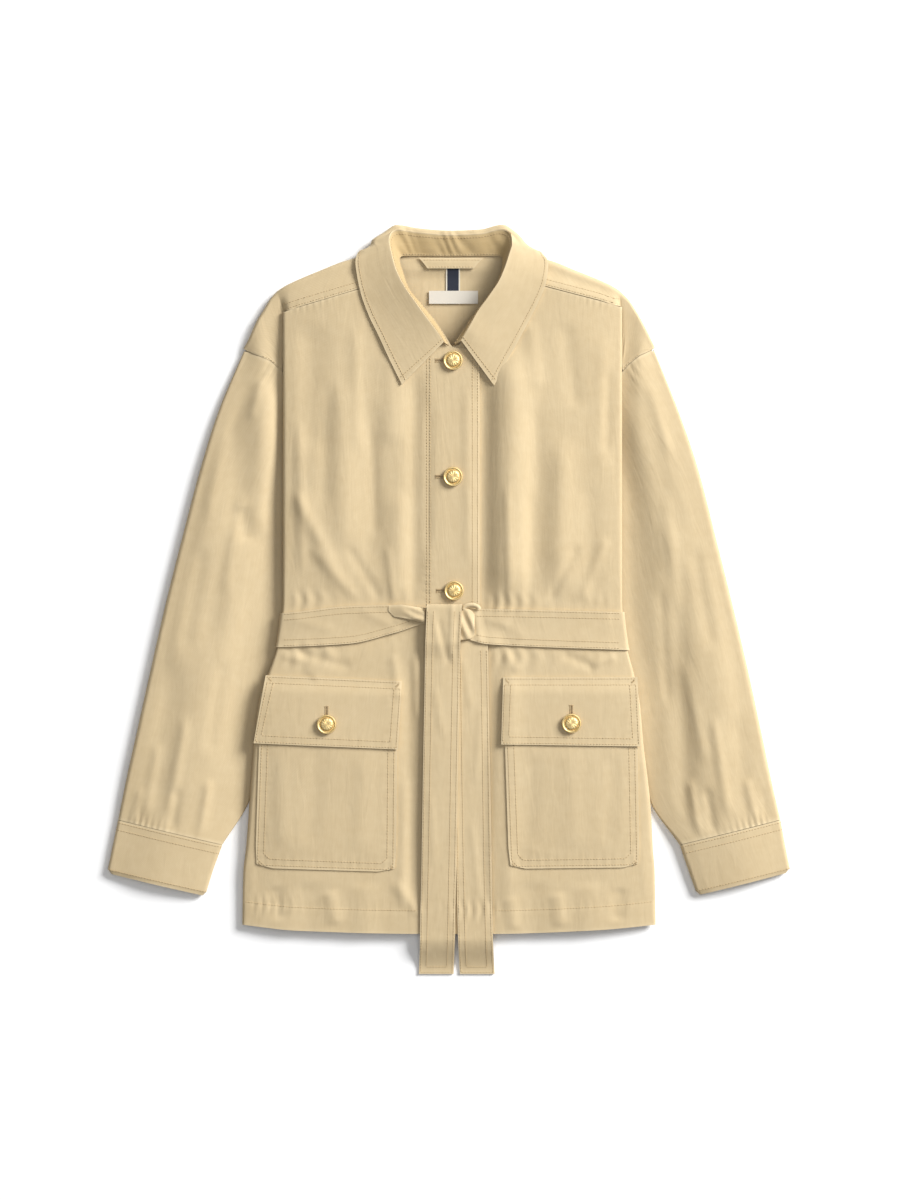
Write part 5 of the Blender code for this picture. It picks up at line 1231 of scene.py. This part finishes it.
def bag_line(bag, inset, corner=6.0):
    """The line round a pocket's bag, a distance in from its sides and its lower edge."""
    inward = math.copysign(1, bag.x_in_top)
    x_in, x_out = bag.x_in_low + inward * inset, bag.x_out_low - inward * inset
    y_in, y_out = bag.y_in_low + inset, bag.y_out_low + inset
    return [
        (bag.x_in_top + inward * inset, bag.y_in_top - 1), (x_in, y_in + corner), (x_in + inward * corner, y_in),
        (x_out - inward * corner, y_out), (x_out, y_out + corner),
        (bag.x_out_top - inward * inset, bag.y_out_top - 1),
    ]


def flap_lines(flap):
    """The stitching on a flap: two rows along each of its edges."""
    inward = math.copysign(1, flap.x_in_top)
    rows = []
    for inset in FLAP_ROWS:
        low_in = (flap.x_in_low + inward * inset, flap.y_in_low + inset)
        low_out = (flap.x_out_low - inward * inset, flap.y_out_low + inset)
        rows += [
            [(flap.x_in_top + inward * 1.5, flap.y_in_top - inset),
             (flap.x_out_top - inward * 1.5, flap.y_out_top - inset)],
            [low_in, low_out],
            [(flap.x_in_top + inward * inset, flap.y_in_top - 8), low_in],
            [(flap.x_out_top - inward * inset, flap.y_out_top - 8), low_out],
        ]
    return rows


def body_lines():
    """The rows on the body: placket, hem, shoulder seams and armholes."""
    rows = [("front_right", [(x, top), (x, -8)]) for x, top in PLACKET_ROWS]
    for node, start, end in (("front_right", -218, -34), ("front_left", 50, 219)):
        rows.append((node, [(x, float(read(HEM, "x", "y", x)) + HEM_DEPTH) for x in np.linspace(start, end, 24)]))
    for shoulder in (RIGHT_SHOULDER, LEFT_SHOULDER):
        seam, armhole = shoulder[ARMHOLE_ROWS:], shoulder[2:ARMHOLE_ROWS]
        for overs, inset in ((seam, 2.2), (seam, 8.0), (armhole, 2.2)):
            ends = np.array([(row.end_x, row.end_y) for row in overs])
            run = np.array([(row.x, row.y) for row in overs]) - ends
            rows.append(("back", ends + run / np.linalg.norm(run, axis=1, keepdims=True) * inset))
    return rows


def belt_lines(inset):
    """The rows along the belt's front run and its two ends, a distance in from their edges."""
    rows = []
    for edge, inward in (("upper", -inset), ("lower", inset)):
        for xs in (np.linspace(-176, -40, 30), np.linspace(30, 184, 32)):
            rows.append(("belt_wrap", np.column_stack([xs, read(BELT_FRONT, "x", edge, xs) + inward])))
    for node, tail, start in (("belt_tail_over", TAIL_OVER, -12), ("belt_tail_under", TAIL_UNDER, -54)):
        ys = [*np.arange(start, TAIL_TIP + inset, -4.0), TAIL_TIP + inset]
        left = np.column_stack([read(tail, "y", "x", ys) + inset, ys])
        right = left + [TAIL_WIDTH - 2 * inset, 0]
        rows += [(node, left), (node, right), (node, [left[-1], right[-1]])]
    return rows


def row_on_grid(name, line, pitch, lift=0.12, low=1.5):
    """The stitches of a row that follows a panel's own grid: line picks one of its rows or columns."""
    grid = PIECES[name]
    normals = np.cross(np.gradient(grid, axis=1), np.gradient(grid, axis=0))[line]
    normals = normals / np.maximum(np.linalg.norm(normals, axis=1, keepdims=True), 1e-9)
    normals = normals * np.where(normals[:, 2:] < 0, -1, 1)
    seen = grid[line][:, 2] > low
    return places_along((grid[line] + normals * lift)[seen], normals[seen], pitch)


def ring_of(piece):
    """The height and the radius of what is selected in edit mode."""
    piece.update_from_editmode()
    chosen = [v.co for v in piece.data.vertices if v.select]
    return sum(c.z for c in chosen) / len(chosen), max(math.hypot(c.x, c.y) for c in chosen)


def button_mesh():
    """One button, spun from a flat disc: a rolled rim, and a dome cut as a plain sunburst."""
    bpy.ops.object.select_all(action="DESELECT")
    bpy.ops.mesh.primitive_circle_add(vertices=48, radius=2.2 * MM, fill_type="NGON")
    piece = bpy.context.object
    bpy.ops.object.mode_set(mode="EDIT")
    bpy.ops.mesh.select_all(action="SELECT")
    dome = [(DOME_RADIUS * share, DOME_FOOT + DOME_HEIGHT * math.sqrt(1 - share**2)) for share in DOME_SHARES]
    for radius, z in (*BUTTON_RINGS, *dome):
        bpy.ops.mesh.extrude_region_move()
        old_z, old_radius = ring_of(piece)
        bpy.ops.transform.resize(value=(radius * MM / old_radius, radius * MM / old_radius, 1))
        bpy.ops.transform.translate(value=(0, 0, z * MM - old_z))
    bpy.ops.object.mode_set(mode="OBJECT")
    for v in piece.data.vertices:
        reach = math.hypot(v.co.x, v.co.y) / MM
        if reach < DOME_RADIUS + 0.05 and v.co.z > 4.0 * MM:
            ray = math.cos(RAYS * math.atan2(v.co.y, v.co.x))
            v.co.z += 0.2 * MM * ray * min(1.0, reach / 4.5) * (1 if reach < DOME_RADIUS - 0.1 else 0.3)
    bpy.ops.object.mode_set(mode="EDIT")
    bpy.ops.mesh.select_all(action="SELECT")
    bpy.ops.mesh.remove_doubles(threshold=0.00001)
    bpy.ops.mesh.normals_make_consistent(inside=False)
    bpy.ops.object.mode_set(mode="OBJECT")
    bpy.ops.object.shade_smooth_by_angle(angle=math.radians(35))
    return piece


def add_rope(master):
    """Joins a rope of beads to the button, inside its rim."""
    beads = []
    for turn in (2 * math.pi * n / BEADS for n in range(BEADS)):
        bpy.ops.object.select_all(action="DESELECT")
        place = (ROPE_RADIUS * MM * math.cos(turn), ROPE_RADIUS * MM * math.sin(turn), ROPE_HEIGHT * MM)
        bpy.ops.mesh.primitive_uv_sphere_add(segments=8, ring_count=5, radius=0.5 * MM, location=place)
        beads.append(bpy.context.object)
    bpy.ops.object.select_all(action="DESELECT")
    for piece in [*beads, master]:
        piece.select_set(True)
    bpy.context.view_layer.objects.active = master
    bpy.ops.object.join()


class JacketSizes(bpy.types.PropertyGroup):
    """Sizes that a user would change."""

    stitch_pitch: bpy.props.FloatProperty(
        name="Stitch pitch", description="From one stitch to the next",
        default=3.2 * MM, min=2 * MM, max=8 * MM, subtype="DISTANCE", unit="LENGTH")
    stitch_length: bpy.props.FloatProperty(
        name="Stitch length", description="Length of thread that shows in one stitch",
        default=2.5 * MM, min=1 * MM, max=6 * MM, subtype="DISTANCE", unit="LENGTH")
    thread_thickness: bpy.props.FloatProperty(
        name="Thread thickness", description="Thickness of the sewing thread",
        default=0.75 * MM, min=0.2 * MM, max=1.5 * MM, subtype="DISTANCE", unit="LENGTH")
    camera_height: bpy.props.FloatProperty(
        name="Camera height", description="How far the camera stands over the jacket",
        default=3.579, min=1, max=10, subtype="DISTANCE", unit="LENGTH")


class JacketColours(bpy.types.PropertyGroup):
    """Colours that a user would change, as sRGB hex values."""

    cloth: bpy.props.StringProperty(name="Cloth", description="The twill's colour", default="#CEBA95")
    cloth_dark: bpy.props.StringProperty(
        name="Cloth, darker yarn", description="The twill's darker tone", default="#C4AE87")
    cloth_light: bpy.props.StringProperty(
        name="Cloth, worn", description="The twill's tone on worn edges", default="#E2D0AC")
    # Painted shade: the band's two tones are a darker copy of the body's twill, for the shade that falls on the collar
    # band and inside the neck.
    band: bpy.props.StringProperty(
        name="Collar band", description="The band's colour, a shade deeper than the body", default="#BFA679")
    band_painted_shade_dark: bpy.props.StringProperty(
        name="Collar band, darker yarn", description="The band's darker tone", default="#B39A6D")
    thread: bpy.props.StringProperty(
        name="Thread", description="The topstitching thread's colour", default="#B0966A")
    brass: bpy.props.StringProperty(name="Brass", description="The gilt buttons' colour", default="#EFD8A0")


class JacketBack(bpy.types.Operator):
    """Lay the back, with its strips over both shoulders"""

    bl_idname = "jacket.back"
    bl_label = "Back"

    def execute(self, context):
        cloth("back", back_grid(), flip=True, rests_on=())
        return {"FINISHED"}


class JacketFronts(bpy.types.Operator):
    """Lay the two fronts, the right one over the left"""

    bl_idname = "jacket.fronts"
    bl_label = "Fronts"

    def execute(self, context):
        cloth("front_left", front_grid(LEFT_SIDE, 1, LEFT_TOP))
        cloth("front_right", front_grid(RIGHT_SIDE, -1, RIGHT_TOP), flip=True)
        return {"FINISHED"}


class JacketSleeves(bpy.types.Operator):
    """Lay the two sleeves, flattened beside the body"""

    bl_idname = "jacket.sleeves"
    bl_label = "Sleeves"

    def execute(self, context):
        for name, rings, shoulder, hidden in (
            ("sleeve_right", RIGHT_SLEEVE, RIGHT_SHOULDER, RIGHT_ARMHOLE),
            ("sleeve_left", LEFT_SLEEVE, LEFT_SHOULDER, LEFT_ARMHOLE),
        ):
            top, under = sleeve_grids(rings, shoulder, hidden)
            flip = name == "sleeve_right"
            cloth(name + "_under", under, flip=flip, rests_on=())
            cloth(name + "_top", top, flip=flip, rests_on=[name + "_under"])
        return {"FINISHED"}


class JacketCuffs(bpy.types.Operator):
    """Set a doubled cuff on each sleeve"""

    bl_idname = "jacket.cuffs"
    bl_label = "Cuffs"

    def execute(self, context):
        for name, rings in (("cuff_right", RIGHT_CUFF), ("cuff_left", LEFT_CUFF)):
            cloth(name, cuff_grid(rings), DOUBLED, closed=True, flip=name == "cuff_right", rests_on=())
        return {"FINISHED"}


class JacketCollar(bpy.types.Operator):
    """Turn the collar down over its stand"""

    bl_idname = "jacket.collar"
    bl_label = "Collar"

    def execute(self, context):
        stand, leaf = collar_grids()
        # The stand is drawn in the band's twill, painted shade darker than the body's.
        for name, grid, material in (("collar_stand", stand, "stand"), ("collar_leaf", leaf, "collar")):
            cloth(name, grid, DOUBLED, material, "twill_collar", ["front_right"], flip=True)
        return {"FINISHED"}


class JacketPockets(bpy.types.Operator):
    """Lay the patch pockets and their flaps on the fronts"""

    bl_idname = "jacket.pockets"
    bl_label = "Pockets"

    def execute(self, context):
        for side, bag, _ in POCKETS:
            cloth("pocket_bag_" + side, bag_grid(bag), flip=side == "right", rests_on=["front_" + side])
        for side, _, flap in POCKETS:
            cloth("pocket_flap_" + side, flap_grid(flap), FLAP_CLOTH, flip=side == "right", rests_on=["front_" + side])
        return {"FINISHED"}


class JacketBelt(bpy.types.Operator):
    """Tie the belt round the waist, with its knot and its two ends"""

    bl_idname = "jacket.belt"
    bl_label = "Belt"

    def execute(self, context):
        cloth("belt_wrap", belt_grid(), BELT_CLOTH, rests_on=["front_right", "front_left"])
        for name, grid in (("belt_tail_under", tail_grid(TAIL_UNDER, -43.5)), ("belt_tail_over", tail_over_grid())):
            cloth(name, grid, BELT_CLOTH, rests_on=["front_right"], flip=True)
        cloth("belt_fold", belt_fold_grid(), KNOT_CLOTH, rests_on=["belt_wrap"], node=False)
        cloth("belt_loop", belt_loop_grid(), KNOT_CLOTH, rests_on=["belt_wrap"], flip=True, node=False)
        cloth("belt_knot", knot_grid(), KNOT_CLOTH, rests_on=["front_right"], closed=True)
        return {"FINISHED"}


class JacketNeckTrim(bpy.types.Operator):
    """Sew the hanger loop, its tape and the plain label inside the back of the neck"""

    bl_idname = "jacket.neck_trim"
    bl_label = "Neck trim"

    def execute(self, context):
        cloth("neck_tape", neck_grid(TAPE_ROWS, 24, 9), TAPE_CLOTH, "tape", "navy_tape")
        cloth("neck_label", neck_grid(LABEL_ROWS, 8, 26), TAPE_CLOTH, "label", "ecru_label")
        cloth("hanger_loop", neck_grid(LOOP_ROWS, 8, 30), KNOT_CLOTH)
        return {"FINISHED"}


class JacketButtons(bpy.types.Operator):
    """Sew on the five gilt buttons, copies of one"""

    bl_idname = "jacket.buttons"
    bl_label = "Buttons"

    def execute(self, context):
        master = button_mesh()
        add_rope(master)
        for spot in BUTTONS:
            seat = float(creased(spot.x, spot.y)) + (float(flap_height(0.3)) if spot.on == "flap" else 0.0) + GAP
            mesh = master.data.copy()
            mesh.transform(Matrix.Translation((spot.x * MM, spot.y * MM, seat * MM)))
            mesh.materials.clear()
            mesh.materials.append(material_for("brass"))
            keep(bpy.data.objects.new(spot.node + "_gilt", mesh), [spot.node])
        bpy.data.objects.remove(master, do_unlink=True)
        return {"FINISHED"}


class JacketButtonholes(bpy.types.Operator):
    """Work a buttonhole beside each button"""

    bl_idname = "jacket.buttonholes"
    bl_label = "Buttonholes"

    def execute(self, context):
        slit_shadows, bars = [], []
        for spot in BUTTONS:
            place = np.array([spot.x, spot.y])
            node = "pocket_flap_right" if spot.x < 0 else "pocket_flap_left"
            start, end = place + [0, 19], place + [0, 8]
            if spot.on == "front":
                node, start, end = "front_right", place - [18.5, 0], place - [8, 0]
            run = (end - start) / np.linalg.norm(end - start)
            aside = np.array([-run[1], run[0]])
            # Painted shadow: short dark spindles along the cut, where the buttonhole's opening shows only shade.
            slit_shadows += places_along(*path_on(node, [start, end], step=0.5, lift=0.15), 1.6)
            for out in (-aside * SLIT_HALF, aside * SLIT_HALF):
                bars += turned_stitches(node, [start + out, end + out], aside, 0.7)
            bars += turned_stitches(node, [start - aside * BAR_HALF, start + aside * BAR_HALF], run, 0.7)
        sew("buttonhole_slits", slit_shadows, stitch_master(3.4, 0.62), "slit")
        sew("buttonhole_edges", bars, stitch_master(1.9, 0.6))
        return {"FINISHED"}


class JacketStitching(bpy.types.Operator):
    """Topstitch the seams, hems, pockets, belt and collar"""

    bl_idname = "jacket.stitching"
    bl_label = "Stitching"

    def execute(self, context):
        sizes = context.scene.jacket_sizes
        pitch = sizes.stitch_pitch / MM
        master = stitch_master(sizes.stitch_length / MM, sizes.thread_thickness / MM)
        sew("stitching_body", stitched(body_lines(), pitch), master)
        lines, tacks = [], []
        for side, bag, flap in POCKETS:
            bag_node, flap_node = "pocket_bag_" + side, "pocket_flap_" + side
            lines += [(bag_node, bag_line(bag, inset)) for inset in BAG_ROWS]
            lines += [(flap_node, line) for line in flap_lines(flap)]
            inward = -1 if side == "right" else 1
            for node, x, y, way in (
                (flap_node, flap.x_in_top, flap.y_in_top, inward),
                (flap_node, flap.x_out_top, flap.y_out_top, -inward),
                (bag_node, bag.x_in_low, bag.y_in_low + 9, inward),
                (bag_node, bag.x_out_low, bag.y_out_low + 9, -inward),
            ):
                line = [(x + way * 3, y - 3), (x + way * 6.2, y - 6.2)]
                tacks += turned_stitches(node, line, (1.0, way), 0.8)
        sew("stitching_pockets", stitched(lines, pitch), master)
        sew("stitching_tacks", tacks, stitch_master(2.2, 0.6))
        sew("stitching_belt", stitched([line for inset in BELT_ROWS for line in belt_lines(inset)], pitch), master)
        leaf = PIECES["collar_leaf"]
        wide = np.linalg.norm(np.diff(leaf, axis=1), axis=2).mean(axis=0)
        long = np.linalg.norm(np.diff(leaf, axis=0), axis=2).mean(axis=1)
        last_row, last_column = leaf.shape[0] - 1, leaf.shape[1] - 1
        column = last_column - max(1, round(COLLAR_ROW / wide[-8:].mean()))
        first, last = (int(np.searchsorted(np.cumsum(part), COLLAR_ROW)) for part in (long, long[::-1]))
        rows = [("collar_stand", np.s_[:, 1]), ("collar_stand", np.s_[:, 13]), ("collar_leaf", np.s_[:, column])]
        rows += [("collar_leaf", first), ("collar_leaf", last_row - last)]
        collar = [place for name, line in rows for place in row_on_grid(name, line, pitch)]
        sew("stitching_collar", collar, master)
        trim = [("hanger_loop", [(-27, 364), (34, 364)]), ("hanger_loop", [(-21, 356.6), (26, 356.6)])]
        sew("stitching_neck", stitched(trim, pitch), master)
        rows = [(name, row) for name in ("cuff_right", "cuff_left") for row in CUFF_ROWS]
        sew("stitching_cuffs", [place for name, row in rows for place in row_on_grid(name, row, pitch)], master)
        return {"FINISHED"}


class JacketStage(bpy.types.Operator):
    """Set the floor, the soft studio light and the camera straight above"""

    bl_idname = "jacket.stage"
    bl_label = "Stage"

    def execute(self, context):
        bpy.ops.object.select_all(action="DESELECT")
        bpy.ops.mesh.primitive_plane_add(size=14, location=(0, 0, -0.0006))
        floor = context.object
        floor.name = "floor"
        floor.data.materials.append(material_for("floor"))
        bpy.ops.object.transform_apply(location=True)
        world = bpy.data.worlds.new("studio")
        world.use_nodes = True
        world.node_tree.nodes["Background"].inputs["Color"].default_value = (1, 1, 1, 1)
        world.node_tree.nodes["Background"].inputs["Strength"].default_value = FILL
        context.scene.world = world
        context.scene.view_settings.view_transform = "Standard"
        for lamp in LIGHTS:
            bpy.ops.object.light_add(type="AREA", location=lamp.place)
            light = context.object
            light.name = lamp.name
            light.data.size = lamp.size
            light.data.energy = lamp.power
            light.rotation_euler = (-Vector(lamp.place)).to_track_quat("-Z", "Y").to_euler()
        place = (*CAMERA_PLACE, context.scene.jacket_sizes.camera_height)
        bpy.ops.object.camera_add(location=place, rotation=(0, 0, 0))
        camera = context.object
        camera.data.lens = 100
        camera.data.sensor_width = 36
        context.scene.camera = camera
        return {"FINISHED"}


class JacketPanel(bpy.types.Panel):
    """Lists the jacket's pieces in the order in which they are made"""

    bl_idname = "VIEW3D_PT_jacket"
    bl_label = "Safari jacket"
    bl_space_type = "VIEW_3D"
    bl_region_type = "UI"
    bl_category = "Jacket"

    def draw(self, context):
        for group in (context.scene.jacket_sizes, context.scene.jacket_colours):
            for name in group.__annotations__:
                self.layout.prop(group, name)
        for step in STEPS:
            self.layout.operator(step.bl_idname)


STEPS = [
    JacketBack, JacketFronts, JacketSleeves, JacketCuffs, JacketCollar, JacketPockets, JacketBelt, JacketNeckTrim,
    JacketButtons, JacketButtonholes, JacketStitching, JacketStage,
]


def register():
    for item in (JacketSizes, JacketColours, *STEPS, JacketPanel):
        bpy.utils.register_class(item)
    bpy.types.Scene.jacket_sizes = bpy.props.PointerProperty(type=JacketSizes)
    bpy.types.Scene.jacket_colours = bpy.props.PointerProperty(type=JacketColours)


def unregister():
    del bpy.types.Scene.jacket_colours
    del bpy.types.Scene.jacket_sizes
    for item in (JacketPanel, *reversed(STEPS), JacketColours, JacketSizes):
        bpy.utils.unregister_class(item)


def main():
    register()
    for step in STEPS:
        group, name = step.bl_idname.split(".")
        getattr(getattr(bpy.ops, group), name)()


if __name__ == "__main__":
    main()
